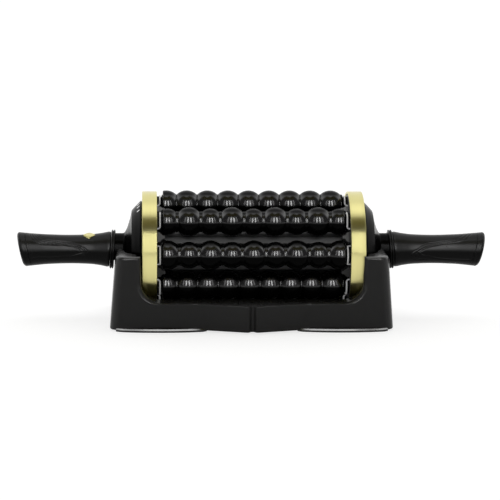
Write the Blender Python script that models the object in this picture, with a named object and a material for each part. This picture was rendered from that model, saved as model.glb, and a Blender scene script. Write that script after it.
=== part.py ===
# An electric massage roller lying in its dock.
# Metres, +Z up. X runs along the roller, -Y is the front, the floor is z = 0.
import math

import bmesh
import bpy
from mathutils import Matrix, Vector

# Clearances that all pieces share
GAP = 0.0003
RUNNING_GAP = 0.001
OVERRUN = 0.002
OVERLAP = 0.0005
MERGE_DISTANCE = 0.000001
SHARP_ANGLE = math.radians(35)

# Roller drum
ROLLER_COUNT = 8
ROLLER_REST_ANGLE = math.radians(3.2)
ROLLER_CIRCLE_RADIUS = 0.048
BEAD_COUNT = 9
BEAD_RADIUS = 0.0156
SMALL_BEAD_RADIUS = 0.0141
NECK_OF_BEADS_RADIUS = 0.0111
EVEN_BEAD_PITCH = 0.0221
MIXED_BEAD_PITCH = 0.0229
EVEN_ROLLER_SHIFT = -0.0041
ROLLER_BORE_RADIUS = 0.0029
BEAD_CROWN_SHARE = 0.3
ROLLER_SEGMENTS = 10
AXLE_RADIUS = 0.0025
AXLE_HOLE_RADIUS = AXLE_RADIUS + GAP
AXLE_LENGTH = 0.2144
AXLE_SEGMENTS = 8

# Fluted core
FLUTE_CLEARANCE = 0.0009
RIDGE_RADIUS = 0.0368
CORE_BORE_RADIUS = 0.0273
CORE_COLLAR_RADIUS = 0.0371
CORE_COLLAR_LENGTH = 0.009
FLUTE_STEPS = 6

# Gold end bands, flanges and bearing cups
BAND_RADIUS = 0.0623
BAND_WALL = 0.0022
BAND_WIDTH = 0.0158
BAND_INNER_FACE = 0.1025
BAND_EDGE = 0.0006
FLANGE_RECESS = 0.0004
FLANGE_THICKNESS = 0.012
FLANGE_LIP = 0.0043
PLATE_THICKNESS = 0.003
PLATE_RADIUS = 0.0585
CUP_WIDTH = 0.018
CUP_REACH = 0.0061
CUP_TOP_RADIUS = 0.058
CUP_FOOT_RADIUS = 0.041
CUP_CORNER = 0.005
CUP_CORNER_STEPS = 2
LUG_WIDTH = 0.0115
LUG_REACH = 0.0058
LUG_TOP_RADIUS = 0.050
LUG_CORNER = 0.002

# Chassis tube and bearings
TUBE_RADIUS = 0.025
TUBE_WALL = 0.0024
TUBE_HALF_LENGTH = 0.1184
BEARING_WIDTH = 0.007
BEARING_RACE = 0.0072
TURNED_SEGMENTS = 24

# Ring gear and pinion
GEAR_MODULE = 0.00125
RING_TEETH = 44
PINION_TEETH = 18
PRESSURE_ANGLE = math.radians(20)
TOOTH_BACKLASH = 0.0005
TOOTH_TIP_SHARE = 0.8
TOOTH_ROOT_SHARE = 1.15
GEAR_WIDTH = 0.0071
PINION_WIDTH = 0.0062
RING_GEAR_RIM = 0.004
SHAFT_RADIUS = 0.003
SHAFT_SEGMENTS = 16
SLOT_SIDE_CLEARANCE = 0.0012

# Motor, gearbox, battery and boards
GEARBOX_RADIUS = 0.0215
GEARBOX_LENGTH = 0.022
MOTOR_RADIUS = 0.018
MOTOR_LENGTH = 0.046
MOTOR_BOSS_RADIUS = 0.006
MOTOR_BOSS_LENGTH = 0.003
MOUNT_THICKNESS = 0.002
SHAFT_SOCKET_DEPTH = 0.005
CELL_COUNT = 3
CELL_STEPS = 4
CELL_RADIUS = 0.009
CELL_SPREAD = 0.0104
CELL_LENGTH = 0.065
SLEEVE_END = 0.0965
BOARD_LENGTH = 0.042
BOARD_THICKNESS = 0.0016
BOARD_DROP = 0.008
BOARD_START = -0.021
CHIP_SIZES = ((0.012, 0.012, 0.003), (0.008, 0.014, 0.006), (0.006, 0.010, 0.009))
CHIP_PLACE_SHARES = ((-0.3, 0.25), (0.1, -0.3), (0.33, 0.3))

# End domes
DOME_RIM_FACE = 0.1189
DOME_RIM_RADIUS = 0.0525
DOME_LENGTH = 0.0192
DOME_WALL = 0.0024
NECK_RADIUS = 0.0173
NECK_END = 0.1475
# Each pair is a share of the dome's length and of the fall from rim to neck.
DOME_SHARES = ((0, 1), (0.224, 0.892), (0.552, 0.7), (0.615, 0.523), (0.745, 0.276),
               (0.906, 0.068), (1, 0))
STUB_START = 0.1082
STUB_BORE_RADIUS = 0.0195
STUB_BORE_END = 0.127
SPIGOT_RADIUS = 0.012
SPIGOT_BORE_RADIUS = 0.0095
SPIGOT_END = 0.165

# Status lights in the left dome
LIGHT_COUNT = 3
LIGHT_FIRST_ANGLE = math.radians(66)
LIGHT_ANGLE_STEP = math.radians(9.5)
LIGHT_PLACE_SHARE = 0.18
LIGHT_LENGTH = 0.0042
LIGHT_WIDTH = 0.0013
LIGHT_DEPTH = 0.0012
LIGHT_PROUD = 0.0002

# Collars and grips
COLLAR_RADIUS = 0.021
COLLAR_SHOULDER_RADIUS = 0.0184
COLLAR_LENGTH = 0.0045
COLLAR_SLOPE_SHARE = 0.25
GRIP_END = 0.249
GRIP_END_TILT = math.radians(12)
GRIP_LARGEST_RADIUS = 0.019
GRIP_SEGMENTS = 20
# Each pair is a share of the grip's length and of its largest radius.
GRIP_SHARES = ((0, 0.9), (0.02, 0.985), (0.045, 0.98), (0.09, 0.925), (0.15, 0.88), (0.25, 0.838),
               (0.44, 0.811), (0.6, 0.83), (0.8, 0.885), (0.9, 0.932), (1.05, 0.99))
CAP_THICKNESS = 0.009
CAP_EDGE = 0.003
CAP_PLUG_LENGTH = 0.006

# Power button
BUTTON_ANGLE = math.radians(80)
BUTTON_PLACE = 0.175
BUTTON_HALF_LENGTH = 0.0064
BUTTON_HALF_WIDTH = 0.0066
BUTTON_ROUNDNESS = 1.35
BUTTON_POINTS = 20
BUTTON_TOP = 0.0167
BUTTON_FOOT = 0.0076
BUTTON_FLANGE_THICKNESS = 0.0014
BUTTON_FLANGE_MARGIN = 0.0012
BUTTON_TRAVEL = 0.001
BUTTON_EDGE = 0.0005
SWITCH_BOARD_HEIGHT = 0.0035
SWITCH_BOARD_LENGTH = 0.018
SWITCH_BOARD_THICKNESS = 0.0014
SWITCH_SIDE = 0.005
SWITCH_TOP = BUTTON_FOOT - BUTTON_TRAVEL - GAP

# Charging socket in the right cap
SOCKET_WIDTH = 0.0095
SOCKET_HEIGHT = 0.0038
SOCKET_WALL = 0.0006
SOCKET_DEPTH = 0.0065
SOCKET_FLOOR = 0.001
SOCKET_CORNER_STEPS = 3

# Dock
AXIS_HEIGHT = 0.0755
DOCK_SHIFT = -0.002
DOCK_HALF_WIDTH = 0.1505
DOCK_TOP_HALF_WIDTH = 0.1443
DOCK_TOP_DIP = 0.0017
DOCK_DIP_HALF_DEPTH = 0.024
DOCK_HALF_DEPTH = 0.068
DOCK_TOP = 0.080
DOCK_STANDOFF = 0.0012
DOCK_FOOT_CHAMFER = 0.0015
DOCK_CORNER = 0.010
DOCK_CORNER_STEPS = 3
DOCK_WALL = 0.003
BULGE = 0.014
BULGE_HALF_WIDTH = 0.0575
BULGE_GROOVE_HALF_WIDTH = 0.0047
BULGE_GROOVE_FLOOR_HALF_WIDTH = 0.0012
BULGE_GROOVE_DEPTH = 0.0038
TROUGH_CLEARANCE = 0.0016
TROUGH_HALF_LENGTH = 0.1225
OPENING_HALF_WIDTH = 0.1222
OPENING_INNER_HALF_WIDTH = 0.1173
OPENING_SPLAY_DEPTH = 0.006
OPENING_FLOOR = 0.030
OPENING_CORNER = 0.0216
OPENING_CORNER_STEPS = 4
POCKET_CLEARANCE = 0.0014

# Underside of the dock
BASE_THICKNESS = 0.003
BASE_RECESS = 0.0002
BOSS_RADIUS = 0.004
BOSS_PLACE_X = 0.090
BOSS_PLACE_Y = 0.060
SCREW_RADIUS = 0.0015
SCREW_LENGTH = 0.0135
SCREW_HEAD_RADIUS = 0.0031
SCREW_HEAD_THICKNESS = 0.0016
FOOT_RADIUS = 0.007
FOOT_PLACE_X = 0.120
FOOT_PLACE_Y = 0.050
SMALL_SEGMENTS = 8

# Materials: colour, roughness, metallic
FINISHES = {
    "satin_black": ((0.020, 0.020, 0.020), 0.38, 0.0),
    "bead_black": ((0.014, 0.014, 0.014), 0.30, 0.0),
    "core_grey": ((0.060, 0.060, 0.060), 0.50, 0.0),
    "grip_black": ((0.022, 0.022, 0.021), 0.42, 0.0),
    "dock_black": ((0.020, 0.020, 0.020), 0.34, 0.0),
    "pale_gold": ((0.76, 0.68, 0.34), 0.26, 1.0),
    "bright_steel": ((0.60, 0.60, 0.61), 0.25, 1.0),
    "gear_steel": ((0.45, 0.45, 0.46), 0.35, 1.0),
    "gear_nylon": ((0.72, 0.70, 0.64), 0.45, 0.0),
    "cell_wrap": ((0.05, 0.16, 0.34), 0.40, 0.0),
    "sleeve_foam": ((0.10, 0.10, 0.10), 0.90, 0.0),
    "board_green": ((0.02, 0.16, 0.06), 0.45, 0.0),
    "light_white": ((0.85, 0.86, 0.86), 0.30, 0.0),
    "foot_rubber": ((0.03, 0.03, 0.03), 0.80, 0.0),
}

# Sizes worked out from the ones above
BAND_OUTER_FACE = BAND_INNER_FACE + BAND_WIDTH
FLANGE_OUTER_FACE = BAND_OUTER_FACE - FLANGE_RECESS
FLANGE_INNER_FACE = FLANGE_OUTER_FACE - FLANGE_THICKNESS
PLATE_OUTER_FACE = FLANGE_INNER_FACE - GAP
PLATE_INNER_FACE = PLATE_OUTER_FACE - PLATE_THICKNESS
CUP_FACE = PLATE_INNER_FACE - CUP_REACH
LUG_FACE = PLATE_INNER_FACE - LUG_REACH
ROLLER_END = CUP_FACE - GAP
CORE_END = PLATE_OUTER_FACE
FLUTE_END = CORE_END - CORE_COLLAR_LENGTH
FLUTE_RADIUS = BEAD_RADIUS + FLUTE_CLEARANCE
BEARING_BORE_RADIUS = TUBE_RADIUS + GAP
BEARING_RADIUS = BEARING_BORE_RADIUS + BEARING_RACE
RING_PITCH_RADIUS = GEAR_MODULE * RING_TEETH / 2
PINION_PITCH_RADIUS = GEAR_MODULE * PINION_TEETH / 2
PINION_OFFSET = RING_PITCH_RADIUS - PINION_PITCH_RADIUS
RING_GEAR_RADIUS = RING_PITCH_RADIUS + GEAR_MODULE + RING_GEAR_RIM
GEAR_OUTER_FACE = CORE_END
GEAR_INNER_FACE = GEAR_OUTER_FACE - GEAR_WIDTH
GEAR_MIDDLE = GEAR_OUTER_FACE - GEAR_WIDTH / 2
TUBE_BORE_RADIUS = TUBE_RADIUS - TUBE_WALL
STUB_RADIUS = TUBE_BORE_RADIUS - GAP
MOUNT_OUTER_FACE = GEAR_INNER_FACE - RUNNING_GAP
MOUNT_INNER_FACE = MOUNT_OUTER_FACE - MOUNT_THICKNESS
GEARBOX_FACE = MOUNT_INNER_FACE - GAP
MOTOR_FACE = GEARBOX_FACE - GEARBOX_LENGTH - GAP
BEAD_REACH = ROLLER_CIRCLE_RADIUS + BEAD_RADIUS
TROUGH_RADIUS = BEAD_REACH + TROUGH_CLEARANCE
COLLAR_START = NECK_END + GAP
COLLAR_END = COLLAR_START + COLLAR_LENGTH
GRIP_START = COLLAR_END + GAP
GRIP_BORE_RADIUS = SPIGOT_RADIUS + GAP
DOCK_BULGE_DEPTH = DOCK_HALF_DEPTH + BULGE


# Scene and materials

def empty_the_scene():
    for thing in list(bpy.data.objects):
        bpy.data.objects.remove(thing, do_unlink=True)


def finish_material(name):
    material = bpy.data.materials.get(name)
    if material is None:
        colour, roughness, metallic = FINISHES[name]
        material = bpy.data.materials.new(name)
        material.use_nodes = True
        shader = material.node_tree.nodes["Principled BSDF"]
        shader.inputs["Base Color"].default_value = (*colour, 1)
        shader.inputs["Roughness"].default_value = roughness
        shader.inputs["Metallic"].default_value = metallic
        material.diffuse_color = (*colour, 1)
    return material


def add_empty(name, parent=None, location=(0, 0, 0), turn=0):
    empty = bpy.data.objects.new(name, None)
    bpy.context.collection.objects.link(empty)
    empty.parent = parent
    empty.location = location
    empty.rotation_euler = (turn, 0, 0)
    return empty


def add_object(name, shape, finish, parent=None, location=(0, 0, 0), turn=0):
    bmesh.ops.recalc_face_normals(shape, faces=shape.faces)
    mesh = bpy.data.meshes.new(name)
    shape.to_mesh(mesh)
    shape.free()
    mesh.shade_smooth()
    mesh.set_sharp_from_angle(angle=SHARP_ANGLE)
    mesh.materials.append(finish_material(finish))
    thing = bpy.data.objects.new(name, mesh)
    bpy.context.collection.objects.link(thing)
    thing.parent = parent
    thing.location = location
    thing.rotation_euler = (turn, 0, 0)
    return thing


def add_cutter(name, shape, parent=None, location=(0, 0, 0), turn=0):
    cutter = add_object(name, shape, "satin_black", parent, location, turn)
    cutter.hide_render = True
    cutter.display_type = "WIRE"
    return cutter


def join_with(thing, tool, operation):
    modifier = thing.modifiers.new(tool.name, "BOOLEAN")
    modifier.operation = operation
    modifier.solver = "EXACT"
    modifier.object = tool


def cut(thing, *cutters):
    for cutter in cutters:
        join_with(thing, cutter, "DIFFERENCE")


def add_on(thing, *guides):
    for guide in guides:
        join_with(thing, guide, "UNION")


# Shape helpers

def circle(radius, steps, centre=(0, 0), start=0):
    points = []
    for step in range(steps):
        angle = start + math.tau * step / steps
        points.append((centre[0] + radius * math.cos(angle), centre[1] + radius * math.sin(angle)))
    return points


def arc(centre, radius, first, last, steps):
    points = []
    for step in range(steps + 1):
        angle = first + (last - first) * step / steps
        points.append((centre[0] + radius * math.cos(angle), centre[1] + radius * math.sin(angle)))
    return points


def rounded_rectangle(half_width, half_height, corner, steps):
    points = []
    for number, (sx, sy) in enumerate(((1, 1), (-1, 1), (-1, -1), (1, -1))):
        middle = (sx * (half_width - corner), sy * (half_height - corner))
        first = math.pi / 2 * number
        points += arc(middle, corner, first, first + math.pi / 2, steps)
    return points


def offset_path(points, distance):
    # Moves an open path sideways, to its left, by the same distance everywhere.
    moved = []
    for number, point in enumerate(points):
        before = Vector(points[max(number - 1, 0)])
        after = Vector(points[min(number + 1, len(points) - 1)])
        here = Vector(point)
        sides = []
        for step in (here - before, after - here):
            if step.length > 0:
                sides.append(Vector((-step.y, step.x)).normalized())
        side = sum(sides, Vector((0, 0))).normalized()
        moved.append(tuple(here + side * (distance / side.dot(sides[0]))))
    return moved


def turned(profile, segments, closed=True):
    # Spins a profile of (x, radius) points round the X axis.
    shape = bmesh.new()
    corners = [shape.verts.new((x, 0, radius)) for x, radius in profile]
    edges = [shape.edges.new(pair) for pair in zip(corners, corners[1:])]
    if closed:
        edges.append(shape.edges.new((corners[-1], corners[0])))
    bmesh.ops.spin(shape, geom=corners + edges, cent=(0, 0, 0), axis=(1, 0, 0),
                   angle=math.tau, steps=segments, use_merge=True)
    bmesh.ops.remove_doubles(shape, verts=shape.verts, dist=MERGE_DISTANCE)
    return shape


def plate(loops, start, end):
    # A flat plate from outlines in (y, z): the first is the rim, the others are holes.
    shape = bmesh.new()
    edges = []
    for loop in loops:
        corners = [shape.verts.new((start, u, v)) for u, v in loop]
        edges += [shape.edges.new(pair) for pair in zip(corners, corners[1:] + corners[:1])]
    bmesh.ops.triangle_fill(shape, edges=edges, use_beauty=True, use_dissolve=False)
    thicken(shape, Vector((end - start, 0, 0)))
    return shape


def thicken(shape, step):
    result = bmesh.ops.extrude_face_region(shape, geom=shape.faces[:] + shape.edges[:])
    corners = [item for item in result["geom"] if isinstance(item, bmesh.types.BMVert)]
    bmesh.ops.translate(shape, verts=corners, vec=step)


def stand(loops, low, high):
    # The same plate laid flat: outlines in (x, y), thickness along Z.
    shape = plate(loops, low, high)
    bmesh.ops.transform(shape, matrix=Matrix(((0, 1, 0, 0), (0, 0, 1, 0), (1, 0, 0, 0), (0, 0, 0, 1))),
                        verts=shape.verts)
    return shape


def box(low, high):
    shape = bmesh.new()
    size = Vector(high) - Vector(low)
    middle = (Vector(high) + Vector(low)) / 2
    bmesh.ops.create_cube(shape, size=1, matrix=Matrix.Translation(middle) @ Matrix.Diagonal((*size, 1)))
    return shape


def lofted(levels):
    # Joins closed outlines of equally many 3-D points and caps the two ends.
    shape = bmesh.new()
    rings = [[shape.verts.new(point) for point in level] for level in levels]
    for lower, upper in zip(rings, rings[1:]):
        count = len(lower)
        for number in range(count):
            after = (number + 1) % count
            shape.faces.new((lower[number], lower[after], upper[after], upper[number]))
    shape.faces.new(rings[0][::-1])
    shape.faces.new(rings[-1])
    bmesh.ops.triangulate(shape, faces=[face for face in shape.faces if len(face.verts) > 4])
    return shape


def gather(shapes):
    # Puts closed shapes that don't touch into one cutter or guide.
    whole = bmesh.new()
    for shape in shapes:
        part = bpy.data.meshes.new("gathered")
        shape.to_mesh(part)
        shape.free()
        whole.from_mesh(part)
        bpy.data.meshes.remove(part)
    return whole


def turn_shape(shape, angle, axis="X"):
    bmesh.ops.rotate(shape, cent=(0, 0, 0), matrix=Matrix.Rotation(angle, 3, axis), verts=shape.verts)
    return shape


def move_shape(shape, step):
    bmesh.ops.translate(shape, verts=shape.verts, vec=step)
    return shape


def chamfer(shape, edges, width):
    bmesh.ops.bevel(shape, geom=edges, offset=width, offset_type="OFFSET", affect="EDGES",
                    segments=1, profile=0.5, clamp_overlap=True)
    return shape


def top_rim(shape, height):
    # The outer edges of a flat top, without the ones inside its filled face.
    bmesh.ops.recalc_face_normals(shape, faces=shape.faces)
    return [edge for edge in shape.edges
            if all(abs(corner.co.z - height) < GAP for corner in edge.verts) and edge.calc_face_angle(0) > 1]


def mirrored(profile, side):
    return [(side * x, radius) for x, radius in profile]


def roller_angle(number):
    # Measured from the front towards the top, at rest.
    return ROLLER_REST_ANGLE + math.tau * number / ROLLER_COUNT


def round_the_drum(angle, radius):
    return (0, -radius * math.cos(angle), radius * math.sin(angle))


# Rollers and their axles

def bead_profile(kind):
    pitch = EVEN_BEAD_PITCH if kind == "even" else MIXED_BEAD_PITCH
    shift = EVEN_ROLLER_SHIFT if kind == "even" else 0
    first = shift - pitch * (BEAD_COUNT - 1) / 2
    points = []
    for bead in range(BEAD_COUNT):
        middle = first + pitch * bead
        small = (kind == "odd_large" and bead % 2 == 1) or (kind == "even_large" and bead % 2 == 0)
        radius = SMALL_BEAD_RADIUS if small else BEAD_RADIUS
        crown = pitch / 2 * BEAD_CROWN_SHARE
        points.append((middle - pitch / 2, NECK_OF_BEADS_RADIUS))
        points.append((middle - crown, radius))
        points.append((middle + crown, radius))
    points.append((first + pitch * (BEAD_COUNT - 1) + pitch / 2, NECK_OF_BEADS_RADIUS))
    return trimmed(points, -ROLLER_END, ROLLER_END)


def trimmed(points, low, high):
    # Keeps a path between two stations and closes it exactly on them.
    kept = [point for point in points if low < point[0] < high]
    return [(low, radius_at(points, low))] + kept + [(high, radius_at(points, high))]


def radius_at(points, place):
    for (x0, r0), (x1, r1) in zip(points, points[1:]):
        if x0 <= place <= x1:
            return r0 + (r1 - r0) * (place - x0) / (x1 - x0)
    return points[0][1] if place < points[0][0] else points[-1][1]


def make_rollers(drum):
    kinds = ("odd_large", "even_large", "even", "even")
    for number in range(ROLLER_COUNT):
        kind = kinds[number % len(kinds)]
        angle = roller_angle(number)
        place = round_the_drum(angle, ROLLER_CIRCLE_RADIUS)
        profile = bead_profile(kind)
        profile += [(ROLLER_END, ROLLER_BORE_RADIUS), (-ROLLER_END, ROLLER_BORE_RADIUS)]
        name = f"roller_{number + 1}"
        add_object(name, turned(profile, ROLLER_SEGMENTS), "bead_black", drum, place)
        axle = plate([circle(AXLE_RADIUS, AXLE_SEGMENTS)], -AXLE_LENGTH / 2, AXLE_LENGTH / 2)
        add_object(f"roller_axle_{number + 1}", axle, "bright_steel", drum, place)


# Drum core, flanges, bands and bearing cups

def fluted_outline():
    # Eight round flutes that the beads turn in, with a ridge between each two.
    reach = ROLLER_CIRCLE_RADIUS ** 2 + RIDGE_RADIUS ** 2 - FLUTE_RADIUS ** 2
    half_angle = math.acos(reach / (2 * ROLLER_CIRCLE_RADIUS * RIDGE_RADIUS))
    corner = (ROLLER_CIRCLE_RADIUS - RIDGE_RADIUS * math.cos(half_angle),
              RIDGE_RADIUS * math.sin(half_angle))
    sweep = math.atan2(corner[1], corner[0])
    points = []
    for number in range(ROLLER_COUNT):
        turn = roller_angle(number)
        flute = arc((ROLLER_CIRCLE_RADIUS, 0), FLUTE_RADIUS, math.pi + sweep, math.pi - sweep, FLUTE_STEPS)
        for u, v in flute:
            points.append((-(u * math.cos(turn) - v * math.sin(turn)),
                           u * math.sin(turn) + v * math.cos(turn)))
    return points


def core_collar(side):
    radius = CORE_COLLAR_RADIUS
    profile = [(FLUTE_END, 0), (FLUTE_END, radius), (CORE_END, radius), (CORE_END, 0)]
    return turned(mirrored(profile, side), TURNED_SEGMENTS, closed=False)


def make_core(drum):
    core = add_object("drum_core", plate([fluted_outline()], -FLUTE_END - OVERLAP, FLUTE_END + OVERLAP),
                      "core_grey", drum)
    collars = add_cutter("core_collars", gather([core_collar(side) for side in (-1, 1)]), drum)
    bore = [(-CORE_END - OVERRUN, 0), (-CORE_END - OVERRUN, CORE_BORE_RADIUS),
            (GEAR_INNER_FACE - GAP, CORE_BORE_RADIUS), (GEAR_INNER_FACE - GAP, RING_GEAR_RADIUS + GAP),
            (CORE_END + OVERRUN, RING_GEAR_RADIUS + GAP), (CORE_END + OVERRUN, 0)]
    bore_cutter = add_cutter("core_bore", turned(bore, TURNED_SEGMENTS, closed=False), drum)
    add_on(core, collars)
    cut(core, bore_cutter)


def axle_holes(drum):
    shapes = []
    for number in range(ROLLER_COUNT):
        hole = plate([circle(AXLE_HOLE_RADIUS, AXLE_SEGMENTS)],
                     -AXLE_LENGTH / 2 - GAP, AXLE_LENGTH / 2 + GAP)
        shapes.append(move_shape(hole, round_the_drum(roller_angle(number), ROLLER_CIRCLE_RADIUS)))
    return add_cutter("axle_holes", gather(shapes), drum)


def cup_block(side):
    # A bearing cup: flat against the plate, round-cornered towards the roller.
    back = PLATE_INNER_FACE + OVERLAP
    half = CUP_WIDTH / 2
    outline = [(back, -half), (back, half)]
    outline += arc((CUP_FACE + CUP_CORNER, half - CUP_CORNER), CUP_CORNER,
                   math.pi / 2, math.pi, CUP_CORNER_STEPS)
    outline += arc((CUP_FACE + CUP_CORNER, CUP_CORNER - half), CUP_CORNER,
                   math.pi, math.pi * 3 / 2, CUP_CORNER_STEPS)
    outline = [(side * x, y) for x, y in outline]
    return stand([outline], CUP_FOOT_RADIUS, CUP_TOP_RADIUS)


def lug_block(side):
    back = PLATE_INNER_FACE + OVERLAP
    half = LUG_WIDTH / 2
    outline = [(back, -half), (back, half), (LUG_FACE + LUG_CORNER, half), (LUG_FACE, half - LUG_CORNER),
               (LUG_FACE, LUG_CORNER - half), (LUG_FACE + LUG_CORNER, -half)]
    outline = [(side * x, y) for x, y in outline]
    return stand([outline], CORE_COLLAR_RADIUS + GAP + OVERLAP, LUG_TOP_RADIUS)


def make_retainer(side, word, drum, holes):
    bore = CORE_COLLAR_RADIUS + GAP
    profile = [(PLATE_INNER_FACE, bore), (PLATE_INNER_FACE, PLATE_RADIUS),
               (PLATE_OUTER_FACE, PLATE_RADIUS), (PLATE_OUTER_FACE, bore)]
    retainer = add_object(f"{word}_retainer", turned(mirrored(profile, side), TURNED_SEGMENTS),
                          "core_grey", drum)
    blocks = []
    for number in range(ROLLER_COUNT):
        angle = math.pi / 2 - roller_angle(number)
        blocks.append(turn_shape(cup_block(side), angle))
        blocks.append(turn_shape(lug_block(side), angle - math.pi / ROLLER_COUNT))
    add_on(retainer, add_cutter(f"{word}_cups_and_lugs", gather(blocks), drum))
    cut(retainer, holes)


def make_flange(side, word, drum, holes):
    radius = BAND_RADIUS - BAND_WALL - GAP
    lip_face = FLANGE_INNER_FACE + FLANGE_LIP
    profile = [(FLANGE_INNER_FACE, CORE_BORE_RADIUS), (FLANGE_INNER_FACE, radius),
               (FLANGE_OUTER_FACE, radius), (FLANGE_OUTER_FACE, BEARING_RADIUS + GAP),
               (lip_face, BEARING_RADIUS + GAP), (lip_face, CORE_BORE_RADIUS)]
    flange = add_object(f"{word}_flange", turned(mirrored(profile, side), TURNED_SEGMENTS),
                        "satin_black", drum)
    cut(flange, holes)
    start = lip_face + GAP
    race = [(start, BEARING_BORE_RADIUS), (start, BEARING_RADIUS),
            (start + BEARING_WIDTH, BEARING_RADIUS), (start + BEARING_WIDTH, BEARING_BORE_RADIUS)]
    add_object(f"{word}_bearing", turned(mirrored(race, side), TURNED_SEGMENTS), "bright_steel", drum)


def make_band(side, word, drum):
    inner = BAND_RADIUS - BAND_WALL
    edge = BAND_RADIUS - BAND_EDGE
    profile = [(BAND_INNER_FACE, inner), (BAND_INNER_FACE, edge),
               (BAND_INNER_FACE + BAND_EDGE, BAND_RADIUS), (BAND_OUTER_FACE - BAND_EDGE, BAND_RADIUS),
               (BAND_OUTER_FACE, edge), (BAND_OUTER_FACE, inner)]
    add_object(f"{word}_ring", turned(mirrored(profile, side), TURNED_SEGMENTS), "pale_gold", drum)


# Gears

def tooth_outline(teeth, tip, root, thickness, first):
    # Straight-sided teeth at the pressure angle, thickness taken at the pitch circle.
    pitch = GEAR_MODULE * teeth / 2
    points = []
    for tooth in range(teeth):
        middle = first + math.tau * tooth / teeth
        for radius, sign in ((root, -1), (tip, -1), (tip, 1), (root, 1)):
            half = thickness / 2 - abs(radius - pitch) * math.tan(PRESSURE_ANGLE) * math.copysign(
                1, (radius - pitch) * (tip - root))
            angle = middle + sign * half / radius
            points.append((radius * math.cos(angle), radius * math.sin(angle)))
    return points


def make_gears(drum, pinion_axis):
    thickness = math.pi * GEAR_MODULE / 2 - TOOTH_BACKLASH
    ring_teeth = tooth_outline(RING_TEETH, RING_PITCH_RADIUS - GEAR_MODULE * TOOTH_TIP_SHARE,
                               RING_PITCH_RADIUS + GEAR_MODULE * TOOTH_ROOT_SHARE, thickness, math.pi / 2)
    ring = plate([circle(RING_GEAR_RADIUS, TURNED_SEGMENTS), ring_teeth], GEAR_INNER_FACE, GEAR_OUTER_FACE)
    add_object("ring_gear", ring, "gear_nylon", drum)
    pinion_teeth = tooth_outline(PINION_TEETH, PINION_PITCH_RADIUS + GEAR_MODULE * TOOTH_TIP_SHARE,
                                 PINION_PITCH_RADIUS - GEAR_MODULE * TOOTH_ROOT_SHARE, thickness,
                                 math.pi / 2 + math.pi / PINION_TEETH)
    bore = circle(SHAFT_RADIUS + GAP, SHAFT_SEGMENTS)
    pinion = plate([pinion_teeth, bore], GEAR_MIDDLE - PINION_WIDTH / 2, GEAR_MIDDLE + PINION_WIDTH / 2)
    add_object("drive_pinion", pinion, "gear_steel", pinion_axis)
    shaft = plate([circle(SHAFT_RADIUS, SHAFT_SEGMENTS)], GEARBOX_FACE - SHAFT_SOCKET_DEPTH + GAP,
                  GEAR_MIDDLE + PINION_WIDTH / 2 + GAP)
    add_object("output_shaft", shaft, "bright_steel", pinion_axis)


# Chassis tube, drive and electronics

def make_tube(frame):
    bore = TUBE_BORE_RADIUS
    profile = [(-TUBE_HALF_LENGTH, bore), (-TUBE_HALF_LENGTH, TUBE_RADIUS),
               (TUBE_HALF_LENGTH, TUBE_RADIUS), (TUBE_HALF_LENGTH, bore)]
    tube = add_object("chassis_tube", turned(profile, TURNED_SEGMENTS), "satin_black", frame)
    tip = PINION_PITCH_RADIUS + GEAR_MODULE
    reach = tip + SLOT_SIDE_CLEARANCE
    slot = box((GEAR_INNER_FACE - GAP, -reach, PINION_OFFSET - tip),
               (GEAR_OUTER_FACE + GAP, reach, TUBE_RADIUS + OVERRUN))
    cut(tube, add_cutter("pinion_slot", slot, frame))


def make_drive(frame):
    box_start = GEARBOX_FACE - GEARBOX_LENGTH
    body = [(box_start, 0), (box_start, GEARBOX_RADIUS), (GEARBOX_FACE, GEARBOX_RADIUS), (GEARBOX_FACE, 0)]
    gearbox = add_object("gearbox", turned(body, TURNED_SEGMENTS, closed=False), "gear_steel", frame)
    socket = plate([circle(SHAFT_RADIUS + GAP, SHAFT_SEGMENTS, (0, PINION_OFFSET))],
                   GEARBOX_FACE - SHAFT_SOCKET_DEPTH, GEAR_INNER_FACE)
    socket_cutter = add_cutter("shaft_socket", socket, frame)
    cut(gearbox, socket_cutter)
    can_start = MOTOR_FACE - MOTOR_LENGTH
    can = [(can_start - MOTOR_BOSS_LENGTH, 0), (can_start - MOTOR_BOSS_LENGTH, MOTOR_BOSS_RADIUS),
           (can_start, MOTOR_BOSS_RADIUS), (can_start, MOTOR_RADIUS), (MOTOR_FACE, MOTOR_RADIUS),
           (MOTOR_FACE, 0)]
    add_object("motor", turned(can, TURNED_SEGMENTS, closed=False), "bright_steel", frame)
    rim = STUB_RADIUS
    disc = [(MOUNT_INNER_FACE, 0), (MOUNT_INNER_FACE, rim), (MOUNT_OUTER_FACE, rim), (MOUNT_OUTER_FACE, 0)]
    mount = add_object("gearbox_mount", turned(disc, TURNED_SEGMENTS, closed=False), "gear_steel", frame)
    cut(mount, socket_cutter)


def cell_outline(extra):
    # Three round cells side by side in a triangle, wrapped tightly.
    points = []
    half = math.pi / CELL_COUNT
    for number in range(CELL_COUNT):
        turn = math.pi / 2 + math.tau * number / CELL_COUNT
        middle = (CELL_SPREAD * math.cos(turn), CELL_SPREAD * math.sin(turn))
        points += arc(middle, CELL_RADIUS + extra, turn - half, turn + half, CELL_STEPS)
    return points


def make_battery(frame):
    pack_start = -SLEEVE_END + OVERRUN
    pack = plate([cell_outline(0)], pack_start, pack_start + CELL_LENGTH)
    add_object("battery_pack", pack, "cell_wrap", frame)
    sleeve = plate([circle(STUB_RADIUS, TURNED_SEGMENTS), cell_outline(GAP)],
                   -SLEEVE_END, pack_start + CELL_LENGTH + OVERRUN)
    add_object("battery_sleeve", sleeve, "sleeve_foam", frame)


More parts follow.
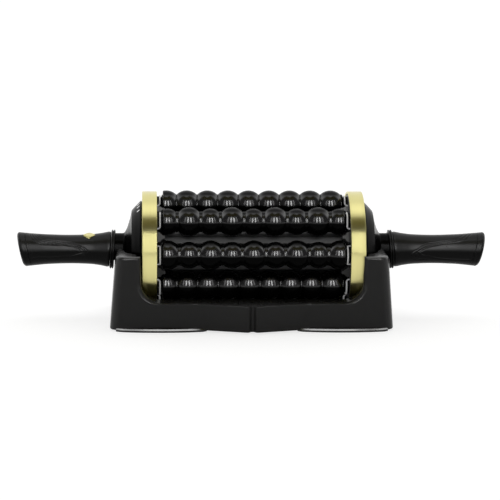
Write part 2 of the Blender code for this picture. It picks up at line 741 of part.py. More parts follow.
def make_control_board(frame):
    deepest = BOARD_DROP + BOARD_THICKNESS
    half = math.sqrt((STUB_RADIUS * math.cos(math.pi / TURNED_SEGMENTS)) ** 2 - deepest ** 2) - GAP
    board = add_object("control_board",
                       box((BOARD_START, -half, -deepest), (BOARD_START + BOARD_LENGTH, half, -BOARD_DROP)),
                       "board_green", frame)
    chips = []
    middle = BOARD_START + BOARD_LENGTH / 2
    for (length, width, height), (along, across) in zip(CHIP_SIZES, CHIP_PLACE_SHARES):
        x = middle + along * BOARD_LENGTH
        y = across * half
        chips.append(box((x - length / 2, y - width / 2, -BOARD_DROP - OVERLAP),
                         (x + length / 2, y + width / 2, -BOARD_DROP + height)))
    add_on(board, add_cutter("board_chips", gather(chips), frame))


# Domes, lights and collars

def dome_outside():
    fall = DOME_RIM_RADIUS - NECK_RADIUS
    return [(DOME_RIM_FACE + along * DOME_LENGTH, NECK_RADIUS + down * fall) for along, down in DOME_SHARES]


def dome_profile():
    outside = dome_outside()
    inside = [point for point in offset_path(outside, -DOME_WALL) if point[1] > STUB_RADIUS]
    inside[0] = (DOME_RIM_FACE, inside[0][1])
    meeting = inside[-1][0]
    profile = outside + [(NECK_END, NECK_RADIUS), (NECK_END, SPIGOT_RADIUS), (SPIGOT_END, SPIGOT_RADIUS),
                         (SPIGOT_END, SPIGOT_BORE_RADIUS), (STUB_BORE_END, SPIGOT_BORE_RADIUS),
                         (STUB_BORE_END, STUB_BORE_RADIUS), (STUB_START, STUB_BORE_RADIUS),
                         (STUB_START, STUB_RADIUS), (meeting, STUB_RADIUS)]
    return profile + inside[::-1]


def light_place(number):
    # Where one light sits: along the dome's slope, square to its surface.
    outside = dome_outside()
    x = DOME_RIM_FACE + LIGHT_PLACE_SHARE * DOME_LENGTH
    (x0, r0), (x1, r1) = outside[0], outside[1]
    slope = math.atan2(r0 - r1, x1 - x0)
    angle = LIGHT_FIRST_ANGLE + LIGHT_ANGLE_STEP * number
    turn = Matrix.Rotation(math.pi / 2 - angle, 4, "X")
    move = Matrix.Translation((-x, 0, radius_at(outside, x)))
    return turn @ move @ Matrix.Rotation(-slope, 4, "Y")


def light_bar(number, extra, top):
    half_length = LIGHT_LENGTH / 2 + extra
    half_width = LIGHT_WIDTH / 2 + extra
    bar = box((-half_length, -half_width, -LIGHT_DEPTH - extra), (half_length, half_width, top))
    bmesh.ops.transform(bar, matrix=light_place(number), verts=bar.verts)
    return bar


def make_dome(side, word, frame):
    dome = add_object(f"{word}_dome", turned(mirrored(dome_profile(), side), TURNED_SEGMENTS),
                      "satin_black", frame)
    if side < 0:
        slots = gather([light_bar(number, GAP, OVERRUN) for number in range(LIGHT_COUNT)])
        cut(dome, add_cutter("light_slots", slots, frame))
        for number in range(LIGHT_COUNT):
            add_object(f"speed_light_{number + 1}", light_bar(number, 0, LIGHT_PROUD), "light_white", frame)


def make_collar(side, word, frame):
    bore = SPIGOT_RADIUS + GAP
    slope = COLLAR_LENGTH * COLLAR_SLOPE_SHARE
    profile = [(COLLAR_START, bore), (COLLAR_START, COLLAR_SHOULDER_RADIUS),
               (COLLAR_START + slope, COLLAR_RADIUS), (COLLAR_END - slope, COLLAR_RADIUS),
               (COLLAR_END, COLLAR_SHOULDER_RADIUS), (COLLAR_END, bore)]
    add_object(f"{word}_collar", turned(mirrored(profile, side), TURNED_SEGMENTS), "satin_black", frame)


# Grips, caps and what is in them

def grip_outside():
    length = GRIP_END - GRIP_START
    return [(GRIP_START + along * length, across * GRIP_LARGEST_RADIUS) for along, across in GRIP_SHARES]


def slant(shape, side, place, keep_inner):
    # Cuts a grip across its end: the plane leans so that the top reaches furthest out.
    normal = Vector((side * math.cos(GRIP_END_TILT), 0, -math.sin(GRIP_END_TILT)))
    result = bmesh.ops.bisect_plane(shape, geom=shape.verts[:] + shape.edges[:] + shape.faces[:],
                                    dist=MERGE_DISTANCE, plane_co=(side * place, 0, 0), plane_no=normal,
                                    clear_outer=keep_inner, clear_inner=not keep_inner)
    edges = [item for item in result["geom_cut"] if isinstance(item, bmesh.types.BMEdge)]
    bmesh.ops.triangle_fill(shape, edges=edges, use_beauty=True)
    return edges


def make_grip(side, word, frame):
    outside = grip_outside()
    far = outside[-1][0]
    profile = outside + [(far, GRIP_BORE_RADIUS), (GRIP_START, GRIP_BORE_RADIUS)]
    shape = turned(mirrored(profile, side), GRIP_SEGMENTS)
    slant(shape, side, GRIP_END - CAP_THICKNESS, True)
    grip = add_object(f"{word}_grip", shape, "grip_black", frame)
    if side < 0:
        hole = stand([button_outline(GAP)], BUTTON_FOOT, BUTTON_TOP + OVERRUN)
        turn = math.pi / 2 - BUTTON_ANGLE
        cut(grip, add_cutter("button_hole", hole, frame, (-BUTTON_PLACE, 0, 0), turn))
    make_cap(side, word, frame)


def make_cap(side, word, frame):
    start = GRIP_END - CAP_THICKNESS + GAP
    outside = [(x, radius) for x, radius in grip_outside()]
    far = outside[-1][0]
    near = GRIP_START + (GRIP_END - GRIP_START) / 2
    shape = turned(mirrored([(near, 0)] + trimmed(outside, near, far) + [(far, 0)], side),
                   GRIP_SEGMENTS, closed=False)
    slant(shape, side, start, False)
    rim = slant(shape, side, GRIP_END, True)
    chamfer(shape, [edge for edge in rim if edge.is_valid], CAP_EDGE)
    cap = add_object(f"{word}_grip_cap", shape, "grip_black", frame)
    plug_radius = GRIP_BORE_RADIUS - GAP
    plug = plate([circle(plug_radius, GRIP_SEGMENTS)], 0, CAP_PLUG_LENGTH + CAP_THICKNESS / 2)
    if side > 0:
        move_shape(plug, (start - CAP_PLUG_LENGTH, 0, 0))
    else:
        move_shape(plug, (-start - CAP_THICKNESS / 2, 0, 0))
    add_on(cap, add_cutter(f"{word}_cap_plug", plug, frame))
    if side > 0:
        make_charge_socket(cap, frame)


def make_charge_socket(cap, frame):
    # A small hollow socket let into the slanted face.
    half_width = SOCKET_WIDTH / 2
    half_height = SOCKET_HEIGHT / 2
    outline = rounded_rectangle(half_width, half_height, half_height - GAP, SOCKET_CORNER_STEPS)
    room = rounded_rectangle(half_width - SOCKET_WALL, half_height - SOCKET_WALL,
                             half_height - SOCKET_WALL - GAP, SOCKET_CORNER_STEPS)
    hole = rounded_rectangle(half_width + GAP, half_height + GAP, half_height, SOCKET_CORNER_STEPS)
    seat = add_empty("socket_seat", frame, (GRIP_END, 0, 0))
    seat.rotation_euler = (0, GRIP_END_TILT, 0)
    socket = add_object("charge_socket", plate([outline], -SOCKET_DEPTH, 0), "gear_steel", seat)
    cut(socket, add_cutter("socket_room", plate([room], SOCKET_FLOOR - SOCKET_DEPTH, OVERRUN), seat))
    cut(cap, add_cutter("socket_hole", plate([hole], -SOCKET_DEPTH - GAP, OVERRUN), seat))


def button_outline(extra):
    # A diamond with rounded corners and slightly bowed sides.
    points = []
    power = 2 / BUTTON_ROUNDNESS
    for step in range(BUTTON_POINTS):
        angle = math.tau * step / BUTTON_POINTS
        along = math.copysign(abs(math.cos(angle)) ** power, math.cos(angle))
        across = math.copysign(abs(math.sin(angle)) ** power, math.sin(angle))
        points.append(((BUTTON_HALF_LENGTH + extra) * along, (BUTTON_HALF_WIDTH + extra) * across))
    return points


def make_button(frame):
    turn = math.pi / 2 - BUTTON_ANGLE
    shape = stand([button_outline(0)], BUTTON_FOOT, BUTTON_TOP)
    chamfer(shape, top_rim(shape, BUTTON_TOP), BUTTON_EDGE)
    button = add_object("power_button", shape, "pale_gold", frame, (-BUTTON_PLACE, 0, 0), turn)
    flange_top = BUTTON_FOOT + BUTTON_FLANGE_THICKNESS
    flange = stand([button_outline(BUTTON_FLANGE_MARGIN)], BUTTON_FOOT, flange_top)
    add_on(button, add_cutter("button_flange", flange, frame, (-BUTTON_PLACE, 0, 0), turn))
    half = math.sqrt((GRIP_BORE_RADIUS - GAP) ** 2 - SWITCH_BOARD_HEIGHT ** 2) - GAP
    low = SWITCH_BOARD_HEIGHT - SWITCH_BOARD_THICKNESS
    board = add_object("button_board",
                       box((-SWITCH_BOARD_LENGTH / 2, -half, low),
                           (SWITCH_BOARD_LENGTH / 2, half, SWITCH_BOARD_HEIGHT)),
                       "board_green", frame, (-BUTTON_PLACE, 0, 0), turn)
    switch = box((-SWITCH_SIDE / 2, -SWITCH_SIDE / 2, SWITCH_BOARD_HEIGHT - OVERLAP),
                 (SWITCH_SIDE / 2, SWITCH_SIDE / 2, SWITCH_TOP))
    add_on(board, add_cutter("tact_switch", switch, frame, (-BUTTON_PLACE, 0, 0), turn))


# Dock

def dock_outline(half_width, dip=0, inset=0):
    # Seen from above: rounded corners, ends dipped at the neck, and a front and back
    # that swell to a grooved middle.
    wide = half_width - inset
    deep = DOCK_HALF_DEPTH - inset
    corner = DOCK_CORNER - inset
    front = [(BULGE_HALF_WIDTH, deep), (BULGE_GROOVE_HALF_WIDTH, deep + BULGE),
             (BULGE_GROOVE_FLOOR_HALF_WIDTH, deep + BULGE - BULGE_GROOVE_DEPTH)]
    quarter = [(wide - dip, DOCK_DIP_HALF_DEPTH)]
    quarter += arc((wide - corner, deep - corner), corner, 0, math.pi / 2, DOCK_CORNER_STEPS) + front
    points = quarter + [(-x, y) for x, y in quarter[::-1]]
    return points + [(-x, -y) for x, y in points]


def level(outline, height):
    return [(x, y, height) for x, y in outline]


def opening_outline(half_width, depth, margin):
    # The U-shaped opening, as a closed outline in (x, z) at one depth.
    floor = OPENING_FLOOR - margin
    top = DOCK_TOP + OVERRUN
    wide = half_width + margin
    corner = OPENING_CORNER + margin
    right = arc((wide - corner, floor + corner), corner, 0, -math.pi / 2, OPENING_CORNER_STEPS)
    right = [(wide, top)] + right
    points = right + [(-x, z) for x, z in right[::-1]]
    return [(x, depth, z) for x, z in points]


def opening_shape(margin):
    # Runs from front to back, wider at both mouths.
    splay = DOCK_HALF_DEPTH - OPENING_SPLAY_DEPTH
    stations = ((-DOCK_BULGE_DEPTH - OVERRUN, OPENING_HALF_WIDTH), (-DOCK_HALF_DEPTH, OPENING_HALF_WIDTH),
                (-splay, OPENING_INNER_HALF_WIDTH), (splay, OPENING_INNER_HALF_WIDTH),
                (DOCK_HALF_DEPTH, OPENING_HALF_WIDTH), (DOCK_BULGE_DEPTH + OVERRUN, OPENING_HALF_WIDTH))
    return lofted([opening_outline(wide, deep, margin) for deep, wide in stations])


def room_path(margin):
    # Half the room for the roller, from its middle to the end: the drum's trough, then
    # the dome at either end of its play, then the neck out through the end wall.
    play = abs(DOCK_SHIFT)
    saddle = NECK_RADIUS + GAP + margin
    edge = TROUGH_HALF_LENGTH + margin
    dome = [(x + play, radius) for x, radius in offset_path(dome_outside(), POCKET_CLEARANCE + margin)]
    inner = [point for point in dome if point[0] > edge and point[1] > saddle]
    path = [(edge, TROUGH_RADIUS + margin), (edge, radius_at(dome, edge))] + inner
    return path + [(inner[-1][0] + POCKET_CLEARANCE, saddle), (DOCK_HALF_WIDTH + OVERRUN, saddle)]


def room_shape(margin):
    # Round below the axis and straight-sided above it, so that the roller lifts out.
    path = room_path(margin)
    levels = []
    for x, radius in [(-x, radius) for x, radius in path[::-1]] + path:
        outline = arc((0, AXIS_HEIGHT), radius, math.pi, math.tau, TURNED_SEGMENTS // 2)
        outline += [(radius, DOCK_TOP + OVERRUN), (-radius, DOCK_TOP + OVERRUN)]
        levels.append([(x, y, z) for y, z in outline])
    return lofted(levels)


def corner_places(along, across):
    return [(sx * along, sy * across) for sx in (-1, 1) for sy in (-1, 1)]


def make_dock_shell(dock):
    foot = dock_outline(DOCK_HALF_WIDTH, inset=DOCK_FOOT_CHAMFER)
    full = dock_outline(DOCK_HALF_WIDTH)
    top = dock_outline(DOCK_TOP_HALF_WIDTH, DOCK_TOP_DIP)
    block = lofted([level(foot, DOCK_STANDOFF), level(full, DOCK_STANDOFF + DOCK_FOOT_CHAMFER),
                    level(top, DOCK_TOP)])
    shell = add_object("dock_shell", block, "dock_black", dock)
    base_seat = DOCK_STANDOFF + BASE_RECESS + BASE_THICKNESS + GAP
    low = dock_outline(DOCK_HALF_WIDTH, inset=DOCK_WALL)
    high = dock_outline(DOCK_TOP_HALF_WIDTH, DOCK_TOP_DIP, DOCK_WALL)
    hollow = add_cutter("dock_hollow", lofted([level(low, DOCK_STANDOFF - OVERRUN), level(low, base_seat),
                                               level(high, DOCK_TOP - DOCK_WALL)]), dock)
    bosses = []
    pilots = []
    for x, y in corner_places(BOSS_PLACE_X, BOSS_PLACE_Y):
        bosses.append(stand([circle(BOSS_RADIUS, SMALL_SEGMENTS, (x, y))], base_seat,
                            OPENING_FLOOR - DOCK_WALL + OVERLAP))
        pilots.append(stand([circle(SCREW_RADIUS + GAP, SMALL_SEGMENTS, (x, y))], 0,
                            DOCK_STANDOFF + BASE_RECESS + SCREW_LENGTH + RUNNING_GAP))
    cut(hollow, add_cutter("room_walls", room_shape(DOCK_WALL), dock),
        add_cutter("opening_walls", opening_shape(DOCK_WALL), dock),
        add_cutter("screw_bosses", gather(bosses), dock))
    pilot_cutter = add_cutter("screw_pilots", gather(pilots), dock)
    cut(shell, hollow, add_cutter("roller_room", room_shape(0), dock),
        add_cutter("openings", opening_shape(0), dock), pilot_cutter)
    return pilot_cutter


def make_dock_underside(dock, pilots):
    low = DOCK_STANDOFF + BASE_RECESS
    outline = dock_outline(DOCK_HALF_WIDTH, inset=DOCK_WALL + GAP)
    base = add_object("dock_base", stand([outline], low, low + BASE_THICKNESS), "satin_black", dock)
    sinks = []
    head_room = low + GAP / 2 + SCREW_HEAD_THICKNESS + GAP
    for x, y in corner_places(BOSS_PLACE_X, BOSS_PLACE_Y):
        sinks.append(stand([circle(SCREW_HEAD_RADIUS + GAP, SMALL_SEGMENTS, (x, y))], 0, head_room))
    cut(base, add_cutter("screw_sinks", gather(sinks), dock), pilots)
    for number, (x, y) in enumerate(corner_places(BOSS_PLACE_X, BOSS_PLACE_Y)):
        head = low + GAP / 2 + SCREW_HEAD_THICKNESS
        profile = [(low + GAP / 2, 0), (low + GAP / 2, SCREW_HEAD_RADIUS), (head, SCREW_HEAD_RADIUS),
                   (head, SCREW_RADIUS), (low + SCREW_LENGTH, SCREW_RADIUS), (low + SCREW_LENGTH, 0)]
        screw = turn_shape(turned(profile, SMALL_SEGMENTS, closed=False), -math.pi / 2, "Y")
        add_object(f"dock_screw_{number + 1}", screw, "bright_steel", dock, (x, y, 0))
    for number, (x, y) in enumerate(corner_places(FOOT_PLACE_X, FOOT_PLACE_Y)):
        foot = stand([circle(FOOT_RADIUS, SMALL_SEGMENTS * 2)], 0, low - GAP)
        add_object(f"dock_foot_{number + 1}", foot, "foot_rubber", dock, (x, y, 0))


# The whole object

def build():
    empty_the_scene()
    dock = add_empty("dock_middle", location=(DOCK_SHIFT, 0, 0))
    frame = add_empty("roller_axis", location=(0, 0, AXIS_HEIGHT))
    drum = add_empty("drum_axis", frame)
    pinion_axis = add_empty("pinion_axis", frame, (0, 0, PINION_OFFSET))
    make_rollers(drum)
    make_core(drum)
    holes = axle_holes(drum)
    for side, word in ((-1, "left"), (1, "right")):
        make_retainer(side, word, drum, holes)
        make_flange(side, word, drum, holes)
        make_band(side, word, drum)
        make_dome(side, word, frame)
        make_collar(side, word, frame)
        make_grip(side, word, frame)
    make_gears(drum, pinion_axis)
    make_tube(frame)
    make_drive(frame)
    make_battery(frame)
    make_control_board(frame)
    make_button(frame)
    pilots = make_dock_shell(dock)
    make_dock_underside(dock, pilots)


build()
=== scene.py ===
import math

import bmesh
import bpy
import numpy
from mathutils import Matrix, Vector


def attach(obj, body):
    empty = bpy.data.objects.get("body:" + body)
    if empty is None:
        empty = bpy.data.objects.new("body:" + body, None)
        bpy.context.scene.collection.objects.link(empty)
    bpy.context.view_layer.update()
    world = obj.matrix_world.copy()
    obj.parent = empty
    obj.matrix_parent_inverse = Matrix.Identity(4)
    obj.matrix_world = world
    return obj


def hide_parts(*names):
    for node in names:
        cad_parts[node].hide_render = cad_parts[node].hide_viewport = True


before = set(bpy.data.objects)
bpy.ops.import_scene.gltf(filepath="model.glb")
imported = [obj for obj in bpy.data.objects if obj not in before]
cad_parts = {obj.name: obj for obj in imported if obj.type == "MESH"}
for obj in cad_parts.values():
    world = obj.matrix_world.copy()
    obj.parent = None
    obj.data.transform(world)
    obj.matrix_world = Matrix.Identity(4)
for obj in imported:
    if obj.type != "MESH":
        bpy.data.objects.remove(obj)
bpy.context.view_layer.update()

axisHeight = 0.0755  # the drum's middle line
seamGap = 0.0003  # between two pieces that meet
overlap = 0.0002  # how far a shape runs into the next one
mergeDistance = 1e-6
straightTurn = 0.05  # a corner that turns less, in radians, isn't rounded
cornerShare = 0.45  # the most of a side that one rounded corner takes
sides = ((-1, "left"), (1, "right"))


# Shared helpers.

def wireFrom(bm, points, closed=True):
    corners = [bm.verts.new(point) for point in points]
    pairs = list(zip(corners, corners[1:]))
    if closed:
        pairs.append((corners[-1], corners[0]))
    return corners, [bm.edges.new(pair) for pair in pairs]


def tidied(bm):
    bmesh.ops.remove_doubles(bm, verts=bm.verts, dist=mergeDistance)
    bmesh.ops.recalc_face_normals(bm, faces=bm.faces)
    return bm


def moved(bm, way):
    bmesh.ops.translate(bm, verts=bm.verts, vec=way)
    return bm


def latheShape(profile, steps, closed=True, height=axisHeight):
    # Turns a profile of (x, radius) round a line along X at the given height.
    bm = bmesh.new()
    corners, edges = wireFrom(bm, [(x, 0, radius) for x, radius in profile], closed)
    bmesh.ops.spin(bm, geom=corners + edges, cent=(0, 0, 0), axis=(1, 0, 0),
                   angle=math.tau, steps=steps, use_merge=True)
    return tidied(moved(bm, (0, 0, height)))


def softened(profile, size, steps):
    # Rounds the corners of a profile, by at most the given size along each side.
    points = [Vector(point) for point in profile]
    result = []
    for number, point in enumerate(points):
        back, ahead = points[number - 1] - point, points[(number + 1) % len(points)] - point
        shorter = min(back.length, ahead.length)
        sharp = shorter > mergeDistance and math.pi - back.angle(ahead) > straightTurn
        if not sharp:
            result.append(tuple(point))
            continue
        reach = min(size, shorter * cornerShare)
        start, end = point + back.normalized() * reach, point + ahead.normalized() * reach
        for t in (step / steps for step in range(steps + 1)):
            result.append(tuple(start * (1 - t) ** 2 + point * 2 * t * (1 - t) + end * t * t))
    return result


def mirrored(profile, side):
    return [(side * x, radius) for x, radius in profile]


def arcPoints(centre, radius, first, last, steps):
    turns = [first + (last - first) * step / steps for step in range(steps + 1)]
    return [(centre[0] + radius * math.cos(turn), centre[1] + radius * math.sin(turn)) for turn in turns]


def quarterTurn(steps):
    return [math.pi / 2 * step / steps for step in range(steps + 1)]


def lofted(levels):
    # Joins closed outlines and closes both ends.
    bm = bmesh.new()
    loops = [wireFrom(bm, level)[1] for level in levels]
    for lower, upper in zip(loops, loops[1:]):
        bmesh.ops.bridge_loops(bm, edges=lower + upper)
    for loop in (loops[0], loops[-1]):
        bmesh.ops.triangle_fill(bm, edges=loop, use_beauty=True)
    return tidied(bm)


def sweptBlock(loops, way, joined=False):
    # Sweeps flat outlines along a straight way, the first the rim, the others holes.
    bm = bmesh.new()
    edges = [edge for loop in loops for edge in wireFrom(bm, loop)[1]]
    bmesh.ops.triangle_fill(bm, edges=edges, use_beauty=True)
    if joined:
        bmesh.ops.dissolve_limit(bm, angle_limit=0.01, verts=bm.verts, edges=bm.edges)
    grown = bmesh.ops.extrude_face_region(bm, geom=bm.faces[:])
    far = [item for item in grown["geom"] if isinstance(item, bmesh.types.BMVert)]
    bmesh.ops.translate(bm, verts=far, vec=way)
    return tidied(bm)


def platePiece(loops, start, end):
    # A flat plate across X from outlines in (y, z).
    return sweptBlock([[(start, y, z) for y, z in loop] for loop in loops], (end - start, 0, 0))


def uprightBlock(outline, low, high):
    # A block with its outline in (x, y), standing along Z.
    return sweptBlock([[(x, y, low) for x, y in outline]], (0, 0, high - low), joined=True)


def roundEdges(bm, edges, width, segments):
    bmesh.ops.bevel(bm, geom=edges, offset=width, offset_type="OFFSET", affect="EDGES", segments=segments,
                    profile=0.5, material=-1, clamp_overlap=True)


def profileAt(points, place):
    # The height of a line of (place, height) points at one place.
    for (x0, y0), (x1, y1) in zip(points, points[1:]):
        if place <= x1:
            share = max((place - x0) / (x1 - x0), 0)
            return y0 + (y1 - y0) * share
    return points[-1][1]


def smoothLine(points, steps):
    # A smooth curve through the given points.
    result = []
    padded = [Vector(point) for point in (points[0], *points, points[-1])]
    for p0, p1, p2, p3 in zip(padded, padded[1:], padded[2:], padded[3:]):
        for t in (step / steps for step in range(steps)):
            result.append(tuple(0.5 * (2 * p1 + (p2 - p0) * t + (2 * p0 - 5 * p1 + 4 * p2 - p3) * t ** 2
                                       + (3 * p1 - p0 - 3 * p2 + p3) * t ** 3)))
    return result + [tuple(points[-1])]


def meshFrom(name, bm):
    mesh = bpy.data.meshes.new(name)
    bm.to_mesh(mesh)
    bm.free()
    return mesh


def placed(name, data):
    thing = bpy.data.objects.new(name, data)
    bpy.context.scene.collection.objects.link(thing)
    return thing


def gathered(shapes):
    whole = bmesh.new()
    for shape in shapes:
        mesh = meshFrom("gathering", shape)
        whole.from_mesh(mesh)
        bpy.data.meshes.remove(mesh)
    return whole


def cutAway(bm, *cutters):
    # Takes cutters out of a shape and gives back the shape that is left.
    made = [placed("cutting", meshFrom("cutting", shape)) for shape in (bm,) + cutters]
    for cutter in made[1:]:
        modifier = made[0].modifiers.new("cut", "BOOLEAN")
        modifier.operation = "DIFFERENCE"
        modifier.solver = "EXACT"
        modifier.object = cutter
    bpy.context.view_layer.update()
    evaluated = made[0].evaluated_get(bpy.context.evaluated_depsgraph_get())
    result = bmesh.new()
    result.from_mesh(evaluated.to_mesh())
    for thing in made:
        mesh = thing.data
        bpy.data.objects.remove(thing, do_unlink=True)
        bpy.data.meshes.remove(mesh)
    return tidied(result)


def newPiece(name, bm, body, finish, *stands, sharp=32, slot=None):
    # The slot is worked out as the finish's own, unless another is named; nothing uses it.
    mesh = meshFrom(name, bm)
    mesh.shade_smooth()
    mesh.set_sharp_from_angle(angle=math.radians(sharp))
    mesh.materials.append(finishes[finish])
    piece = placed(name, mesh)
    slot = slot or finish
    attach(piece, body)
    if stands:
        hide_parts(*stands)
    return piece


def bevelled(piece, width, segments=2, angle=40):
    modifier = piece.modifiers.new("edges", "BEVEL")
    modifier.width = width
    modifier.segments = segments
    modifier.limit_method = "ANGLE"
    modifier.angle_limit = math.radians(angle)
    modifier.harden_normals = True
    evened = piece.modifiers.new("evened", "WEIGHTED_NORMAL")  # large flat faces keep their own normal
    evened.keep_sharp = True


# Shared surface effects, as node groups.

def give(tree, socket, value):
    if isinstance(value, bpy.types.NodeSocket):
        tree.links.new(value, socket)
    else:
        socket.default_value = value


def feed(tree, node, **values):
    # Gives a node's inputs numbers or other nodes' outputs; _ stands for a space in a name.
    for label, value in values.items():
        give(tree, node.inputs[label.replace("_", " ")], value)
    return node


def newNode(tree, kind, **values):
    return feed(tree, tree.nodes.new("ShaderNode" + kind), **values)


def groupWith(name, inputs, outputs):
    tree = bpy.data.node_groups.new(name, "ShaderNodeTree")
    for way, labels in (("INPUT", inputs), ("OUTPUT", outputs)):
        for label in labels:
            tree.interface.new_socket(name=label, in_out=way, socket_type="NodeSocketFloat")
    return tree, tree.nodes.new("NodeGroupInput").outputs, tree.nodes.new("NodeGroupOutput")


def mathNode(tree, operation, first, second=0.0):
    node = newNode(tree, "Math")
    node.operation = operation
    give(tree, node.inputs[0], first)
    give(tree, node.inputs[1], second)
    return node.outputs[0]


def noiseNode(tree, vector, scale, detail, roughness):
    node = newNode(tree, "TexNoise", Vector=vector, Scale=scale, Detail=detail, Roughness=roughness)
    return node.outputs["Fac"]


def objectPlace(tree):
    return newNode(tree, "TexCoord").outputs["Object"]


def upwardLean(tree):
    return newNode(tree, "SeparateXYZ", Vector=newNode(tree, "NewGeometry").outputs["Normal"]).outputs["Z"]


def makeMouldedGrain():
    # Fine pimples of moulded plastic, and the slow unevenness of its sheen.
    tree, given, result = groupWith("mouldedGrain", ("Grain size", "Patch size"), ("Grain", "Patches"))
    place = objectPlace(tree)
    feed(tree, result, Grain=noiseNode(tree, place, given["Grain size"], 2.0, 0.6),
         Patches=noiseNode(tree, place, given["Patch size"], 4.0, 0.6))
    return tree


def makeTurnedBrushing():
    # Fine lines that run round the X axis, as on a spun or brushed ring.
    tree, given, result = groupWith("turnedBrushing", ("Line size", "Streak"), ("Lines", "Broad"))
    parts = newNode(tree, "SeparateXYZ", Vector=objectPlace(tree)).outputs
    around = mathNode(tree, "ARCTAN2", parts["Y"], mathNode(tree, "SUBTRACT", parts["Z"], axisHeight))
    wave = mathNode(tree, "MULTIPLY", mathNode(tree, "SINE", around), given["Streak"])
    swing = mathNode(tree, "MULTIPLY", mathNode(tree, "COSINE", around), given["Streak"])
    along = mathNode(tree, "MULTIPLY", parts["X"], given["Line size"])
    place = newNode(tree, "CombineXYZ", X=along, Y=wave, Z=swing).outputs[0]
    feed(tree, result, Lines=noiseNode(tree, place, 1.0, 3.0, 0.7),
         Broad=noiseNode(tree, place, 0.12, 2.0, 0.5))
    return tree


def makeSettledDust():
    # A thin film on faces that look up, broken by noise.
    tree, given, result = groupWith("settledDust", ("Amount",), ("Film",))
    upward = mathNode(tree, "MAXIMUM", upwardLean(tree), 0.0)
    sharp = mathNode(tree, "POWER", noiseNode(tree, objectPlace(tree), 420.0, 5.0, 0.7), 3.0)
    broken = mathNode(tree, "MULTIPLY", upward, sharp)
    feed(tree, result, Film=mathNode(tree, "MULTIPLY", broken, given["Amount"]))
    return tree


def makePaintedGleamShade():
    # Painted shade on the gleam: grows from low to one as a face turns upward, and falls to high where it
    # lies flat.
    tree, given, result = groupWith("paintedGleamShade", ("Low", "High"), ("Share",))
    lean = upwardLean(tree)
    shares = []
    for first, last, start, end in ((-0.02, 0.26, given["Low"], 1.0), (0.5, 0.85, 1.0, given["High"])):
        ramp = newNode(tree, "MapRange", Value=lean, From_Min=first, From_Max=last, To_Min=start, To_Max=end)
        ramp.interpolation_type = "SMOOTHSTEP"
        shares.append(ramp.outputs["Result"])
    feed(tree, result, Share=mathNode(tree, "MULTIPLY", *shares))
    return tree


paintedGleamShade = makePaintedGleamShade()
mouldedGrain = makeMouldedGrain()
turnedBrushing = makeTurnedBrushing()
settledDust = makeSettledDust()
print("surface effects made")


# Materials.

dustColour = (0.42, 0.41, 0.39)
noiseLow, noiseHigh = 0.3, 0.7  # where nearly all of a noise's values lie
patchSize = 35.0


def placedGroup(tree, group, **values):
    node = newNode(tree, "Group")
    node.node_tree = group
    return feed(tree, node, **values).outputs


def mapped(tree, value, low, high):
    return newNode(tree, "MapRange", Value=value, From_Min=noiseLow, From_Max=noiseHigh,
                   To_Min=low, To_Max=high).outputs["Result"]


def mixedColour(tree, factor, first, second):
    # Each colour is a triple of numbers or another node's output.
    node = newNode(tree, "Mix")
    node.data_type = "RGBA"
    tree.links.new(factor, node.inputs["Factor"])
    colours = [socket for socket in node.inputs if socket.type == "RGBA"]
    for socket, colour in zip(colours, (first, second)):
        give(tree, socket, (*colour, 1) if isinstance(colour, tuple) else colour)
    return next(socket for socket in node.outputs if socket.type == "RGBA")


def twoTones(colour, spread):
    return [tuple(channel * (1 + change) for channel in colour) for change in (-spread, spread)]


def startMaterial(name, colour):
    material = bpy.data.materials.new(name)
    material.use_nodes = True
    material.diffuse_color = (*colour, 1)
    tree = material.node_tree
    return material, tree, tree.nodes["Principled BSDF"]


def addBump(tree, shader, height, depth):
    bump = newNode(tree, "Bump", Distance=depth, Strength=1.0, Height=height)
    feed(tree, shader, Normal=bump.outputs["Normal"])


def mouldedPlastic(name, colour, roughness, specular, grainSize, grainDepth, speckle, dust,
                   topGleam=1.0, density=1.5, lowGleam=0.1):
    material, tree, shader = startMaterial(name, colour)
    grain = placedGroup(tree, mouldedGrain, Grain_size=grainSize, Patch_size=patchSize)
    film = placedGroup(tree, settledDust, Amount=dust)["Film"]
    # painted shade: the gleam is turned down on faces that look down and on flat tops
    share = placedGroup(tree, paintedGleamShade, Low=lowGleam, High=topGleam)["Share"]
    base = mixedColour(tree, grain["Grain"], *twoTones(colour, speckle))
    feed(tree, shader, Base_Color=mixedColour(tree, film, base, dustColour), IOR=density,
         Roughness=mapped(tree, grain["Patches"], roughness * 0.9, roughness * 1.12),
         Specular_IOR_Level=mathNode(tree, "MULTIPLY", share, specular))
    addBump(tree, shader, grain["Grain"], grainDepth)
    return material


def brushedMetal(name, colour, roughness, stretch, tone, lineSize=9000.0, metal=1.0):
    # Turned lines spread the gleam along X by the given stretch.
    material, tree, shader = startMaterial(name, colour)
    lines = placedGroup(tree, turnedBrushing, Line_size=lineSize, Streak=3.0)
    feed(tree, shader, Base_Color=mixedColour(tree, lines["Lines"], *twoTones(colour, tone)),
         Roughness=mapped(tree, lines["Broad"], roughness * 0.85, roughness * 1.15),
         Tangent=newNode(tree, "CombineXYZ", X=1.0).outputs[0], Anisotropic=stretch, Metallic=metal)
    return material


def grainyMetal(name, colour, roughness, grainSize=1800.0, grainDepth=0.00001):
    material, tree, shader = startMaterial(name, colour)
    grain = placedGroup(tree, mouldedGrain, Grain_size=grainSize, Patch_size=60.0)
    dark = tuple(channel * 0.86 for channel in colour)
    feed(tree, shader, Base_Color=mixedColour(tree, grain["Patches"], dark, colour), Metallic=1.0,
         Roughness=mapped(tree, grain["Patches"], roughness * 0.8, roughness * 1.2))
    addBump(tree, shader, grain["Grain"], grainDepth)
    return material
